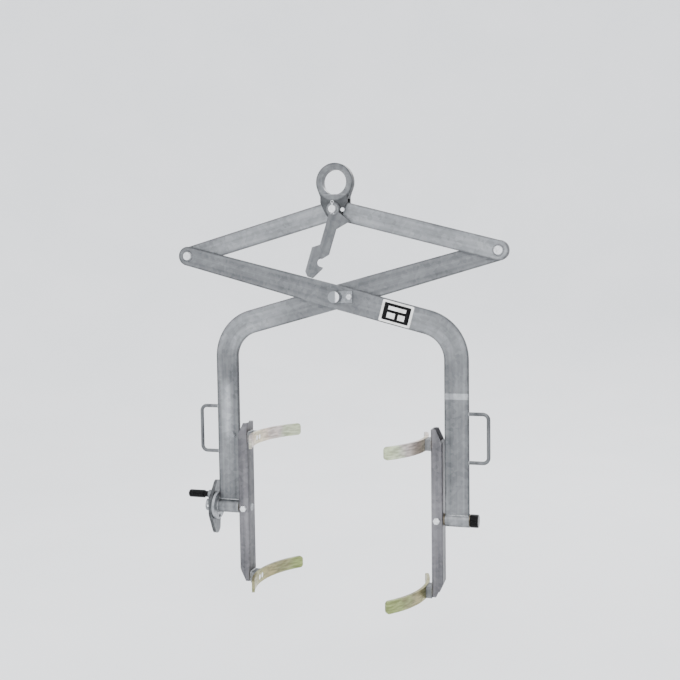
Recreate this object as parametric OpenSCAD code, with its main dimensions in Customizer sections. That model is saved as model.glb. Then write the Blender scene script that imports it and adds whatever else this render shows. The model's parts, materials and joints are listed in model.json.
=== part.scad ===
// Drum turning clamp: scissor tongs that hang from a crane hook, grip a steel drum
// between two turning jaws and let it be tipped and locked.
// The origin is the centre of the lifting eye. +X is to the right, +Y away from the
// front, +Z up. The model is drawn with the jaws closed on the drum.

/* [Drum] */
// Radius of the drum wall that the claws hold
drum_r = 287; // [280:1:292]

/* [Lifting eye] */
// Radius of the hole for the crane hook
eye_hole_r = 40.5; // [36:0.5:42]
// Outer radius of the ring
eye_outer_r = 62; // [58:0.5:66]
// Height of the hook hole above the top pivot
eye_drop = 88; // [86:1:94]
// Width of the eye at its lower end
neck_w = 91; // [84:1:96]
// Thickness of each cheek plate
cheek_t = 8; // [6:0.5:10]
// Radius of the cheeks round the top pivot
cheek_r = 32; // [28:0.5:36]
// How far the cheeks reach up over the ring plate
cheek_lap = 13; // [8:0.5:15]

/* [Linkage] */
// Distance between the pivots of every bar of the scissors
bar_l = 550; // [520:5:580]
// Slope of the bars when the jaws hold the drum, in degrees
rest_deg = 15; // [13.5:0.25:16.5]
// Thickness of links and arms
plate_t = 12; // [10:0.5:15]
// Gap between the front and the rear plates, for the spacer washer
mid_gap = 2; // [1.5:0.1:3]
// Gap between the links and the cheeks
side_gap = 1; // [0.5:0.1:2]
// Width of the links
link_w = 63; // [56:1:68]
// Radius of all four pivot pins
pin_r = 12; // [10:0.5:13]
// Radial clearance of a pin that turns in its hole
run_gap = 0.05; // [0.02:0.01:0.1]
// Radial clearance of the centre pin in the rear arm
open_gap = 0.3; // [0.2:0.05:0.5]

/* [Pins and washers] */
// Thickness of the plain washers
washer_t = 2.5; // [2:0.1:3]
// Outer radius of the plain washers
washer_r = 20; // [18:0.5:23]
// Radius of the pin heads
pin_head_r = 16; // [14.5:0.5:18]
// Thickness of the pin heads
pin_head_t = 5; // [4:0.5:7]
// Radius of the split pins
split_r = 2; // [1.5:0.1:2.5]
// Width of the shoulder that a split pin leaves at a pin's end
pin_end = 5; // [4:0.5:6]

/* [Arms] */
// Width of the arms below the centre pivot
arm_w = 78; // [72:1:84]
// End radius of an arm at its outer pivot
arm_end_r = 32; // [28:0.5:36]
// Radius of the arm's bend, at the middle of its width
bend_r = 125; // [110:1:140]
// Height of the centre pivot above the jaw axis
bearing_drop = 718; // [690:1:740]

/* [Handles] */
// Radius of the handle rod
rod_r = 6; // [5:0.25:7]
// Distance from the arm's edge to the middle of the grip
handle_reach = 62; // [54:1:70]
// Height of the handle between the middles of its legs
handle_h = 156; // [140:1:170]
// Drop of the handle's upper leg below the centre pivot
handle_drop = 373; // [350:1:400]
// Bend radius of the rod
handle_bend = 18; // [14:0.5:24]

/* [Bearings] */
// Radius of the jaw shafts
shaft_r = 12.5; // [11:0.25:13.5]
// Wall of the bronze bushes
bush_wall = 2.5; // [2:0.1:3]
// Length of each bush inside its tube
bush_l = 25; // [20:1:30]
// Radius of a bush's flange
bush_rim_r = 19; // [18:0.25:20]
// Thickness of a bush's flange
bush_rim_t = 2; // [1.5:0.1:2.2]
// Wall of the bearing tubes
tube_wall = 7; // [6:0.25:8]
// End play of each turning part
end_play = 0.3; // [0.2:0.05:0.4]

/* [Jaws] */
// Thickness of the claws
claw_t = 10; // [8:0.5:11]
// Height of the claws
claw_h = 41; // [36:1:46]
// Reach of the long leg of a claw round the drum, in degrees
claw_long = 44; // [40:1:48]
// Reach of the short leg of a claw, in degrees
claw_short = 25; // [20:1:35]
// Radius of the rounded corners at the ends of a claw
claw_corner = 11; // [6:0.5:14]
// Height of the upper claw above the jaw axis
claw_up = 243; // [232:1:250]
// Depth of the lower claw under the jaw axis
claw_down = 238; // [226:1:238]
// Thickness of the blocks between claw and jaw bar
block_t = 19; // [15:0.5:22]
// Width of the blocks across the jaw
block_w = 48; // [42:1:52]
// Size of the jaw bar along the axis
bar_x = 37; // [35:1:42]
// Size of the jaw bar across the axis
bar_y = 60; // [56:1:64]
// Wall of the jaw bar
bar_wall = 5; // [4:0.25:6]
// Corner radius of the jaw bar
bar_corner = 7; // [6.5:0.25:9]
// Reach of the jaw bar above the axis
bar_top = 294; // [284:1:302]
// Reach of the jaw bar below the axis
bar_bottom = 250; // [248:1:262]
// Width of the slanted cut at each end of the bar
cut_x = 22; // [16:1:26]
// Height of the slanted cut
cut_z = 46; // [36:1:50]
// Gap between the jaw bar and the arm
bar_gap = 5.5; // [5.2:0.1:7]
// Radius of the claw screws
screw_r = 5; // [4:0.25:5.5]
// Distance between the two screws of a claw
screw_pitch = 24; // [22:1:26]
// Radius of the bolt that crosses each jaw shaft
cross_r = 6; // [5:0.25:6.5]

/* [Right shaft end] */
// Radius of the collar that keeps the right jaw in
collar_r = 18; // [17:0.25:19]
// Length of the collar
collar_l = 10; // [8:0.5:12]
// Wall of the black end cap
cap_wall = 3.5; // [2.5:0.25:4]
// Length of the end cap
cap_l = 26; // [23:0.5:30]

/* [Index lock] */
// Radius of the fixed index flange
flange_r = 47; // [46:0.5:50]
// Thickness of the index flange
flange_t = 10; // [8:0.5:12]
// Radius of the ring of index holes
index_r = 36.5; // [36.5:0.25:37.5]
// Number of index holes
index_n = 4; // [2:1:8]
// Radius of the index bolt
bolt_r = 6; // [5:0.25:6.5]
// Radial clearance of the bolt in its guides
bolt_gap = 0.1; // [0.05:0.01:0.1]
// Radial clearance of the bolt in the flange holes
index_gap = 0.3; // [0.2:0.05:0.5]
// Travel of the bolt
bolt_travel = 12; // [10:0.5:12.5]
// Gap between the flange and the crank plate
crank_gap = 3; // [2.5:0.1:4]
// Thickness of the crank plate
crank_t = 12; // [10:0.5:14]
// Reach of the crank plate below the jaw axis
crank_down = 100; // [92:1:106]
// Reach of the crank plate above the jaw axis
crank_up = 84; // [78:1:90]
// Half of the crank plate's greatest width
crank_w = 40; // [38:0.5:44]
// Radius of the hub on the crank plate
hub_r = 20.5; // [19.5:0.25:20.5]
// Length of the hub
hub_l = 20; // [17:0.5:22]
// Radius of the hub's cross pin
hub_pin_r = 4; // [3:0.25:4.5]
// Outer radius of the guard round the bolt
guard_r = 15; // [14.5:0.25:15.5]
// Length of the guard
guard_l = 13.5; // [12.5:0.5:18]
// Radius of the grip's neck, which slides into the guard
neck_r = 10.5; // [9:0.25:11]
// Radius of the grip
grip_r = 13.5; // [12.5:0.25:15]
// Length of the grip
grip_l = 71; // [62:1:76]

/* [Latch] */
// Thickness of the latch that holds the clamp open
latch_t = 8; // [6:0.5:9]
// Tilt of the latch when the clamp hangs closed, in degrees
latch_tilt = 17.7; // [15:0.1:20]
// Radius of the latch's head
latch_head_r = 23; // [21:0.5:24]
// Drop of the notch's middle below the top pivot
notch_drop = 178; // [174:1:184]
// Offset of the notch's middle to the right
notch_x = 10; // [8:0.5:12]
// Clearance of the centre pin in the notch
notch_gap = 0.8; // [0.6:0.1:1.5]
// Left edge of the latch's stem
stem_left = 9; // [7:0.5:11]
// Right edge of the latch's stem
stem_right = 29; // [27:0.5:31]
// Left edge of the latch's foot
foot_left = 33; // [30:0.5:36]
// Reach of the latch's foot below the pivot
foot_drop = 234; // [228:1:238]
// Reach of the lug that meets the stop screw
lug_x = 64; // [56:1:70]
// Radius of the stop screw's head
stop_r = 6.5; // [6:0.25:7]

/* [Keeper and small fasteners] */
// Thickness of the keeper plate on the centre pin
keeper_t = 5; // [4:0.25:6]
// Length of the keeper plate
keeper_l = 50; // [46:1:56]
// Height of the keeper plate
keeper_h = 38; // [32:1:42]
// Depth that the keeper reaches into the pin
keeper_bite = 4; // [3:0.25:5]
// Radius of the keeper's screw
keeper_screw_r = 5; // [4:0.25:6]
// Radius of the flange on the centre pin's front end
spool_r = 19; // [17:0.5:21]
// Radius of the screw through the left arm
arm_screw_r = 6; // [5:0.25:7]
// Drop of that screw below the centre pivot
arm_screw_drop = 471; // [460:1:485]

/* [Hidden] */
$fn = 96;

// Heights
top_z = -eye_drop;
pivot_x = bar_l * cos(rest_deg);
outer_z = top_z - bar_l * sin(rest_deg);
centre_z = top_z - 2 * bar_l * sin(rest_deg);
axis_z = centre_z - bearing_drop;

// Layers from front to rear: front plate, gap, rear plate, with a cheek outside each
front_y = -mid_gap / 2 - plate_t;
plate_mid_y = mid_gap / 2 + plate_t / 2;
eye_half = mid_gap / 2 + plate_t + side_gap;
neck_bottom = link_w / 2 + 2 - eye_drop;
cheek_y = eye_half + cheek_t;
latch_y = -cheek_y - 1 - latch_t;

// The jaw's layers outwards from the drum
claw_out = drum_r + claw_t;
bar_in = claw_out + block_t;
bar_out = bar_in + bar_x;
leg_in = bar_out + bar_gap;
leg_out = leg_in + arm_w;
leg_mid = leg_in + arm_w / 2;
bar_mid = bar_in + bar_x / 2;
tube_r = shaft_r + bush_wall + tube_wall;

// The bend that turns the arm from its slope into the upright leg
bend_x = leg_mid - bend_r;
bend_z = -bend_x * tan(rest_deg) - bend_r / cos(rest_deg);

// The left end outwards from the arm
crank_in = leg_out + flange_t + crank_gap;
crank_out = crank_in + crank_t;
hub_end = crank_out + hub_l;
guard_end = crank_out + guard_l;
guard_floor = 3;
grip_in = guard_end + 3;
bolt_tip = crank_in + 1;

// Clearance that stands for the threads between a screw and its nut
thread_gap = 0.1;

// Heads of hexagon bolts, after the radius of their thread
function hex_r(r) = 1.83 * r;
function head_t(r) = 1.25 * r;

steel = "lightslategray";
zinc = "silver";

// Extrudes a drawing in the X-Z plane from y0 to y1
module slab(y0, y1) {
  translate([0, y1, 0]) rotate([90, 0, 0]) linear_extrude(height = y1 - y0) children();
}

// Extrudes a drawing in the Y-Z plane from x0 to x1
module slab_x(x0, x1) {
  translate([x0, 0, 0]) rotate([90, 0, 90]) linear_extrude(height = x1 - x0) children();
}

// Round bar along Y from y0 to y1
module bar_along_y(r, y0, y1) {
  translate([0, y0, 0]) rotate([-90, 0, 0]) cylinder(r = r, h = y1 - y0);
}

// Round bar along X from x0 to x1
module bar_along_x(r, x0, x1) {
  translate([x0, 0, 0]) rotate([0, 90, 0]) cylinder(r = r, h = x1 - x0);
}

// The left half of the clamp is the right half turned half round
module side(s) {
  rotate([0, 0, s > 0 ? 0 : 180]) children();
}

// Washer on a pin along Y
module washer_y(hole_r, out_r, y0, y1) {
  difference() {
    bar_along_y(out_r, y0, y1);
    bar_along_y(hole_r, y0 - 1, y1 + 1);
  }
}

// Washer on a shaft along X
module washer_x(hole_r, out_r, x0, x1) {
  difference() {
    bar_along_x(out_r, x0, x1);
    bar_along_x(hole_r, x0 - 1, x1 + 1);
  }
}

// Split pin across a pivot pin, with its eye above
module split_pin(y) {
  reach = pin_r + 8;
  translate([0, y, -reach]) cylinder(r = split_r, h = 2 * reach - 3);
  translate([0, y, reach + split_r]) rotate([90, 0, 0])
    rotate_extrude() translate([2 * split_r, 0]) circle(r = split_r, $fn = 24);
}

// Hexagon head or nut on a bolt along Y
module hex_y(thread_r, y0, y1) {
  translate([0, y0, 0]) rotate([-90, 0, 0]) cylinder(r = hex_r(thread_r), h = y1 - y0, $fn = 6);
}

// Ends of the pivot pins behind the rear plate
rear_face = mid_gap / 2 + plate_t;
pin_washer_y = rear_face + end_play;
pin_split_y = pin_washer_y + washer_t + split_r + 0.5;
pin_rear_end = pin_split_y + split_r + pin_end;

// Front end of the top pin, in front of the latch
top_washer_y = latch_y - end_play - washer_t;
top_split_y = top_washer_y - split_r - 0.5;
top_front_end = top_split_y - split_r - pin_end;

// Front end of the centre pin, a spool that the latch hooks on
spool_y = latch_y - 2;

// Lifting eye: a ring whose straight sides close in on its lower end, held between the cheeks
module lifting_eye() {
  reach = sqrt(neck_w * neck_w / 4 + neck_bottom * neck_bottom);
  touch = atan2(neck_bottom, neck_w / 2) + acos(min(1, eye_outer_r / reach));
  side_x = eye_outer_r * cos(touch);
  side_z = eye_outer_r * sin(touch);
  color(steel) slab(-eye_half, eye_half) difference() {
    intersection() {
      union() {
        circle(r = eye_outer_r);
        polygon([[-neck_w / 2, neck_bottom], [neck_w / 2, neck_bottom], [side_x, side_z], [-side_x, side_z]]);
      }
      translate([-eye_outer_r, neck_bottom]) square([2 * eye_outer_r, 2 * eye_outer_r]);
    }
    circle(r = eye_hole_r);
  }
}

// Cheek outline: straight sides that close in on the round lower end
module cheek_outline() {
  shoulder = eye_drop + neck_bottom - 12;
  reach = sqrt(neck_w * neck_w / 4 + shoulder * shoulder);
  touch = atan2(shoulder, neck_w / 2) - acos(cheek_r / reach);
  corner = [cheek_r * cos(touch), cheek_r * sin(touch)];
  translate([0, top_z]) union() {
    circle(r = cheek_r);
    polygon([
      [-neck_w / 2, shoulder], [-corner[0], corner[1]], corner, [neck_w / 2, shoulder],
      [neck_w / 2, eye_drop + neck_bottom + cheek_lap], [-neck_w / 2, eye_drop + neck_bottom + cheek_lap]
    ]);
  }
}

module eye_cheeks() {
  color(steel) difference() {
    union() {
      slab(-cheek_y, -eye_half) cheek_outline();
      slab(eye_half, cheek_y) cheek_outline();
    }
    translate([0, 0, top_z]) bar_along_y(pin_r, -cheek_y - 1, cheek_y + 1);
    stop_screw_place() bar_along_y(stop_r / 2, -cheek_y - 1, -eye_half + 1);
  }
}

module top_pin() {
  color(zinc) translate([0, 0, top_z]) difference() {
    union() {
      bar_along_y(pin_r, top_front_end + 1.5, cheek_y);
      translate([0, top_front_end, 0]) rotate([-90, 0, 0]) cylinder(r1 = pin_r - 1.5, r2 = pin_r, h = 1.5);
      bar_along_y(pin_head_r, cheek_y, cheek_y + pin_head_t);
    }
    translate([0, top_split_y, -2 * pin_r]) cylinder(r = split_r, h = 4 * pin_r);
  }
}

module top_pin_washers() {
  color(zinc) translate([0, 0, top_z]) {
    washer_y(pin_r, washer_r, top_washer_y, top_washer_y + washer_t);
    washer_y(pin_r, washer_r + 4, -mid_gap / 2 + end_play, mid_gap / 2 - end_play);
  }
}

module top_split_pin() {
  color(zinc) translate([0, 0, top_z]) split_pin(top_split_y);
}

// Latch drawn hanging straight down from the top pivot
lug_slope = -22;
lug_start = [latch_head_r * 0.85, -3];
notch_far = sqrt(notch_x * notch_x + notch_drop * notch_drop);
hook_deg = atan2(notch_x, notch_drop);

module latch_outline() {
  lug_tip = [lug_x, lug_start[1] + (lug_x - lug_start[0]) * tan(lug_slope)];
  notch_r = pin_r + notch_gap;
  tooth_x = notch_x + notch_r - 1.5;
  difference() {
    union() {
      circle(r = latch_head_r);
      polygon([
        [0, 0], [-stem_left, 0], [-stem_left, -notch_drop + 56],
        [-foot_left, -notch_drop + 40], [-foot_left, -foot_drop + 14],
        [-foot_left + 12, -foot_drop], [-2, -foot_drop],
        [tooth_x - 2, -notch_drop - notch_r - 8], [tooth_x, -notch_drop - notch_r],
        [notch_x, -notch_drop - notch_r], [notch_x, -notch_drop + notch_r],
        [stem_right, -notch_drop + notch_r + 20], [stem_right, -notch_drop / 3],
        [lug_tip[0] - 3, lug_tip[1] - 6], lug_tip, lug_start
      ]);
    }
    translate([notch_x, -notch_drop]) circle(r = notch_r);
    circle(r = pin_r + run_gap);
  }
}

module latch() {
  color(steel) translate([0, 0, top_z]) rotate([0, latch_tilt, 0])
    slab(latch_y, latch_y + latch_t) latch_outline();
}

// The stop screw sits where the lug's upper edge arrives as the latch hooks the centre pin
module stop_screw_place() {
  away = stop_r + 0.4;
  from_x = lug_start[0] + 11 * cos(lug_slope) - away * sin(lug_slope);
  from_z = lug_start[1] + 11 * sin(lug_slope) + away * cos(lug_slope);
  translate([0, 0, top_z]) rotate([0, hook_deg, 0]) translate([from_x, 0, from_z]) children();
}

module latch_stop_screw() {
  color(zinc) stop_screw_place() {
    bar_along_y(stop_r / 2, -cheek_y, -eye_half);
    bar_along_y(stop_r, -cheek_y - latch_t, -cheek_y);
  }
}

// Link from the top pivot down to the right
module link_outline() {
  rotate(-rest_deg) difference() {
    union() {
      circle(r = link_w / 2);
      translate([0, -link_w / 2]) square([bar_l, link_w]);
      translate([bar_l, 0]) circle(r = link_w / 2);
    }
    circle(r = pin_r + run_gap);
    translate([bar_l, 0]) circle(r = pin_r + run_gap);
  }
}

module link(s) {
  color(steel) side(s) translate([0, 0, top_z]) slab(front_y, -mid_gap / 2) link_outline();
}

module outer_pin(s) {
  color(zinc) translate([s * pivot_x, 0, outer_z]) difference() {
    union() {
      bar_along_y(pin_r, front_y, pin_rear_end);
      translate([0, front_y, 0]) rotate([90, 0, 0]) cylinder(r1 = pin_head_r, r2 = pin_head_r - 2.5, h = pin_head_t);
    }
    translate([0, pin_split_y, -2 * pin_r]) cylinder(r = split_r, h = 4 * pin_r);
  }
}

module outer_pin_washers(s) {
  color(zinc) translate([s * pivot_x, 0, outer_z]) {
    washer_y(pin_r, washer_r, pin_washer_y, pin_washer_y + washer_t);
    washer_y(pin_r, washer_r + 4, -mid_gap / 2 + end_play, mid_gap / 2 - end_play);
  }
}

module outer_split_pin(s) {
  color(zinc) translate([s * pivot_x, 0, outer_z]) split_pin(pin_split_y);
}

// Points on an arc round a centre, from one direction to another
function arc(centre, r, from_deg, to_deg, steps) = [
  for (i = [0:steps]) let (a = from_deg + (to_deg - from_deg) * i / steps) centre + r * [cos(a), sin(a)]
];

// A point given along and across the arm's slope, which passes through the centre pivot
function on_slope(p) = [p[0] * cos(rest_deg) + p[1] * sin(rest_deg), p[1] * cos(rest_deg) - p[0] * sin(rest_deg)];

// Arm: tapered from its outer pivot to the centre pivot, then a bend and an upright leg
module arm_outline() {
  bend = [bend_x, bend_z];
  leg_end = -bearing_drop + tube_r / 2;
  polygon(concat(
    [for (p = arc([-bar_l, 0], arm_end_r, 90, 270, 32)) on_slope(p)],
    [on_slope([0, -arm_w / 2])],
    arc(bend, bend_r - arm_w / 2, 90 - rest_deg, 0, 30),
    [[leg_in, leg_end], [leg_out, leg_end]],
    arc(bend, bend_r + arm_w / 2, 0, 90 - rest_deg, 30),
    [on_slope([0, arm_w / 2])]
  ));
}

module arm_plate(s, centre_hole) {
  difference() {
    side(s) translate([0, 0, centre_z]) slab(front_y, -mid_gap / 2) arm_outline();
    side(s) translate([0, 0, axis_z]) bar_along_x(tube_r, leg_in - 1, leg_out + 1);
    translate([0, 0, centre_z]) bar_along_y(centre_hole, -cheek_y, cheek_y);
    translate([-s * pivot_x, 0, outer_z]) bar_along_y(pin_r + run_gap, -cheek_y, cheek_y);
  }
}

module right_arm_plate() {
  color(steel) difference() {
    arm_plate(1, pin_r);
    keeper_screw_place() bar_along_y(keeper_screw_r, front_y - 1, 0);
  }
}

module left_arm_plate() {
  color(steel) difference() {
    arm_plate(-1, pin_r + open_gap);
    arm_screw_place() bar_along_y(arm_screw_r, 0, cheek_y);
  }
}

// Centre pin: fixed in the front arm, with a spool in front for the latch
module centre_pin() {
  color(zinc) translate([0, 0, centre_z]) difference() {
    union() {
      bar_along_y(pin_r, spool_y, pin_rear_end);
      bar_along_y(spool_r, spool_y - pin_head_t, spool_y);
    }
    translate([pin_r - keeper_bite, front_y - keeper_t, -2 * pin_r]) cube([2 * pin_r, keeper_t, 4 * pin_r]);
    translate([0, pin_split_y, -2 * pin_r]) cylinder(r = split_r, h = 4 * pin_r);
  }
}

module centre_pin_washers() {
  color(zinc) translate([0, 0, centre_z]) {
    washer_y(pin_r, washer_r, pin_washer_y, pin_washer_y + washer_t);
    washer_y(pin_r, washer_r + 4, -mid_gap / 2 + end_play, mid_gap / 2 - end_play);
  }
}

module centre_split_pin() {
  color(zinc) translate([0, 0, centre_z]) split_pin(pin_split_y);
}

module keeper_screw_place() {
  translate([pin_r - keeper_bite + keeper_l - hex_r(keeper_screw_r) - 2, 0, centre_z]) children();
}

module keeper_plate() {
  color(zinc) difference() {
    translate([pin_r - keeper_bite, front_y - keeper_t, centre_z - keeper_h / 2]) cube([keeper_l, keeper_t, keeper_h]);
    keeper_screw_place() bar_along_y(keeper_screw_r, front_y - keeper_t - 1, 0);
  }
}

module keeper_screw() {
  color(zinc) keeper_screw_place() {
    bar_along_y(keeper_screw_r, front_y - keeper_t, -mid_gap / 2);
    hex_y(keeper_screw_r, front_y - keeper_t - 4, front_y - keeper_t);
  }
}

// Bearing tube under the leg, with a bush in each end
module bearing_tube(s) {
  color(steel) side(s) translate([0, 0, axis_z]) washer_x(shaft_r + bush_wall, tube_r, leg_in, leg_out);
}

module bushes(s, outer_rim) {
  color("peru") side(s) translate([0, 0, axis_z]) difference() {
    union() {
      bar_along_x(shaft_r + bush_wall, leg_in - bush_rim_t, leg_in + bush_l);
      bar_along_x(bush_rim_r, leg_in - bush_rim_t, leg_in);
      bar_along_x(shaft_r + bush_wall, leg_out - bush_l, leg_out + outer_rim);
      if (outer_rim > 0) bar_along_x(bush_rim_r, leg_out, leg_out + outer_rim);
    }
    bar_along_x(shaft_r + run_gap, leg_in - 10, leg_out + 10);
  }
}

// Guide handle bent from round rod, its ends butted on the leg's outer edge
module handle(s) {
  grip_x = leg_out + handle_reach;
  high = centre_z - handle_drop;
  low = high - handle_h;
  color(steel) side(s) translate([0, -plate_mid_y, 0]) {
    translate([0, 0, high]) bar_along_x(rod_r, leg_out, grip_x - handle_bend);
    translate([0, 0, low]) bar_along_x(rod_r, leg_out, grip_x - handle_bend);
    translate([grip_x, 0, low + handle_bend]) cylinder(r = rod_r, h = handle_h - 2 * handle_bend);
    translate([grip_x - handle_bend, 0, high - handle_bend]) rotate([90, 0, 0])
      rotate_extrude(angle = 90) translate([handle_bend, 0]) circle(r = rod_r, $fn = 48);
    translate([grip_x - handle_bend, 0, low + handle_bend]) rotate([90, 0, 0]) rotate([0, 0, -90])
      rotate_extrude(angle = 90) translate([handle_bend, 0]) circle(r = rod_r, $fn = 48);
  }
}

// Rectangle with round corners, centred
module round_rect(w, h, r) {
  square([w - 2 * r, h], center = true);
  square([w, h - 2 * r], center = true);
  for (x = [-1, 1], y = [-1, 1]) translate([x * (w / 2 - r), y * (h / 2 - r)]) circle(r = r);
}

// Slanted cut that takes the outer corner off one end of the jaw bar
module bar_cut() {
  slab(-bar_y, bar_y) polygon([
    [bar_out - cut_x, 0], [bar_out, -cut_z], [bar_out + 5, -cut_z - 5 * cut_z / cut_x], [bar_out + 5, 0]
  ]);
}

module claw_heights() {
  for (z = [claw_up, -claw_down]) translate([0, 0, z]) children();
}

module screw_places() {
  for (y = [-1, 1]) translate([0, y * screw_pitch / 2, 0]) children();
}

// Jaw bar: a hollow section with both ends cut on the slant
module jaw_bar(s) {
  color(steel) side(s) translate([0, 0, axis_z]) difference() {
    translate([bar_mid, 0, -bar_bottom]) linear_extrude(height = bar_top + bar_bottom) difference() {
      round_rect(bar_x, bar_y, bar_corner);
      round_rect(bar_x - 2 * bar_wall, bar_y - 2 * bar_wall, bar_corner - bar_wall);
    }
    translate([0, 0, bar_top]) bar_cut();
    translate([0, 0, -bar_bottom]) mirror([0, 0, 1]) bar_cut();
    bar_along_x(shaft_r, bar_in - 1, bar_out + 1);
    translate([bar_mid, 0, 0]) bar_along_y(cross_r, -bar_y, bar_y);
    claw_heights() screw_places() bar_along_x(screw_r, bar_in - 1, bar_in + bar_wall + 1);
  }
}

// Claw screw: countersunk head just under the claw's inner face
module claw_screw(grow) {
  head_x = drum_r + 0.5;
  bar_along_x(screw_r, head_x + 4, bar_in + bar_wall);
  translate([head_x, 0, 0]) rotate([0, 90, 0]) cylinder(r1 = screw_r + 4, r2 = screw_r, h = 4);
  if (grow) bar_along_x(screw_r + 4, drum_r - 10, head_x);
}

// Takes the upper corner off the end of a claw that lies along the X axis
module claw_corner_cut() {
  slab_x(drum_r - 1, claw_out + 1) translate([0, claw_h / 2 - claw_corner]) difference() {
    translate([-1, 0]) square(claw_corner + 1);
    translate([claw_corner, 0]) circle(r = claw_corner);
  }
}

module claw_end_cut() {
  claw_corner_cut();
  mirror([0, 0, 1]) claw_corner_cut();
}

module claw(s, z) {
  color("gainsboro") side(s) translate([0, 0, axis_z + z]) difference() {
    rotate([0, 0, -claw_long]) rotate_extrude(angle = claw_long + claw_short)
      translate([drum_r, -claw_h / 2]) square([claw_t, claw_h]);
    rotate([0, 0, -claw_long]) claw_end_cut();
    rotate([0, 0, claw_short]) mirror([0, 1, 0]) claw_end_cut();
    screw_places() claw_screw(true);
  }
}

module claw_blocks(s) {
  color(steel) side(s) translate([0, 0, axis_z]) claw_heights() difference() {
    translate([drum_r, -block_w / 2, -claw_h / 2 + 2]) cube([bar_in - drum_r, block_w, claw_h - 4]);
    translate([0, 0, -claw_h]) cylinder(r = claw_out, h = 2 * claw_h, $fn = 180);
    screw_places() bar_along_x(screw_r, drum_r - 1, bar_in + 1);
  }
}

module claw_screws(s) {
  color(zinc) side(s) translate([0, 0, axis_z]) claw_heights() screw_places() claw_screw(false);
}

module jaw_shaft(s, end_x) {
  difference() {
    side(s) translate([0, 0, axis_z]) bar_along_x(shaft_r, bar_in, end_x);
    translate([s * bar_mid, 0, axis_z]) bar_along_y(cross_r, -bar_y, bar_y);
  }
}

// Cross bolt with its head in front and its nut behind
module cross_bolt(s) {
  half = bar_y / 2;
  nut_t = 1.6 * cross_r;
  color(zinc) translate([s * bar_mid, 0, axis_z]) {
    bar_along_y(cross_r, -half, half + nut_t + 3);
    hex_y(cross_r, -half - head_t(cross_r), -half);
    difference() {
      hex_y(cross_r, half, half + nut_t);
      bar_along_y(cross_r + thread_gap, half - 1, half + nut_t + 1);
    }
  }
}

module thrust_washer(s) {
  side(s) translate([0, 0, axis_z])
    washer_x(shaft_r + run_gap, bush_rim_r + 1, bar_out + end_play, leg_in - bush_rim_t - end_play);
}

// Collar with a grub screw, and the black cap that is pushed over it
collar_x = leg_out + bush_rim_t + end_play;
cap_x = collar_x + 0.5;

module right_collar() {
  grub = [collar_x + collar_l / 2, 0, axis_z];
  color(zinc) difference() {
    translate([0, 0, axis_z]) washer_x(shaft_r, collar_r, collar_x, collar_x + collar_l);
    translate(grub) cylinder(r = 3 + thread_gap, h = 2 * collar_r);
  }
  color("dimgray") translate(grub) translate([0, 0, shaft_r]) cylinder(r = 3, h = collar_r - shaft_r - 0.5);
}

module right_end_cap() {
  out_r = collar_r + cap_wall;
  color("black") translate([0, 0, axis_z]) difference() {
    union() {
      bar_along_x(out_r, cap_x, cap_x + cap_l - 2);
      translate([cap_x + cap_l - 2, 0, 0]) rotate([0, 90, 0]) cylinder(r1 = out_r, r2 = out_r - 2, h = 2);
    }
    bar_along_x(collar_r, cap_x - 1, cap_x + cap_l - cap_wall - 1);
  }
}

module index_flange() {
  color(steel) translate([0, 0, axis_z]) difference() {
    bar_along_x(flange_r, -leg_out - flange_t, -leg_out);
    bar_along_x(shaft_r + bush_wall, -leg_out - flange_t - 1, -leg_out + 1);
    for (i = [0:index_n - 1]) rotate([i * 360 / index_n, 0, 0]) translate([0, 0, index_r])
      bar_along_x(bolt_r + index_gap, -leg_out - flange_t - 1, -leg_out + 1);
  }
}

module arm_screw_place() {
  translate([-leg_mid + 14, 0, centre_z - arm_screw_drop]) children();
}

// Screw through the left leg, with washers and a nut behind
module arm_screw() {
  face = mid_gap / 2;
  head_y = face - washer_t;
  nut_y = rear_face;
  color(zinc) arm_screw_place() {
    bar_along_y(arm_screw_r, head_y, nut_y + 1.6 * arm_screw_r + 2);
    hex_y(arm_screw_r, head_y - head_t(arm_screw_r), head_y);
    washer_y(arm_screw_r + thread_gap, 2 * arm_screw_r, head_y + thread_gap, face);
    difference() {
      hex_y(arm_screw_r, nut_y, nut_y + 1.6 * arm_screw_r);
      bar_along_y(arm_screw_r + thread_gap, nut_y - 1, nut_y + 1.6 * arm_screw_r + 1);
    }
  }
}

// Crank plate outside the left arm: straight rear edge, bulging front edge, round foot
module crank_outline() {
  foot_r = 22;
  head_r = 18;
  hull() {
    translate([crank_w - head_r, crank_up - head_r]) circle(r = head_r);
    translate([-6, 12]) circle(r = crank_w - 6);
    translate([0, -18]) circle(r = crank_w);
    translate([crank_w - foot_r - 8, -crank_down + foot_r]) circle(r = foot_r);
  }
}

module crank_plate() {
  color(steel) translate([0, 0, axis_z]) difference() {
    slab_x(-crank_out, -crank_in) crank_outline();
    bar_along_x(shaft_r, -crank_out - 1, -crank_in + 1);
    translate([0, 0, index_r]) bar_along_x(bolt_r + bolt_gap, -crank_out - 1, -crank_in + 1);
  }
}

module crank_hub() {
  color(steel) translate([0, 0, axis_z]) difference() {
    bar_along_x(hub_r, -hub_end, -crank_out);
    bar_along_x(shaft_r, -hub_end - 1, -crank_out + 1);
    translate([-crank_out - hub_l / 2, 0, 0]) bar_along_y(hub_pin_r, -2 * hub_r, 2 * hub_r);
  }
}

module hub_pin() {
  color(zinc) translate([-crank_out - hub_l / 2, 0, axis_z]) bar_along_y(hub_pin_r, -hub_r, hub_r);
}

module left_jaw_shaft() {
  color(zinc) difference() {
    jaw_shaft(-1, hub_end);
    translate([-crank_out - hub_l / 2, 0, axis_z]) bar_along_y(hub_pin_r, -2 * hub_r, 2 * hub_r);
  }
}

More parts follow.
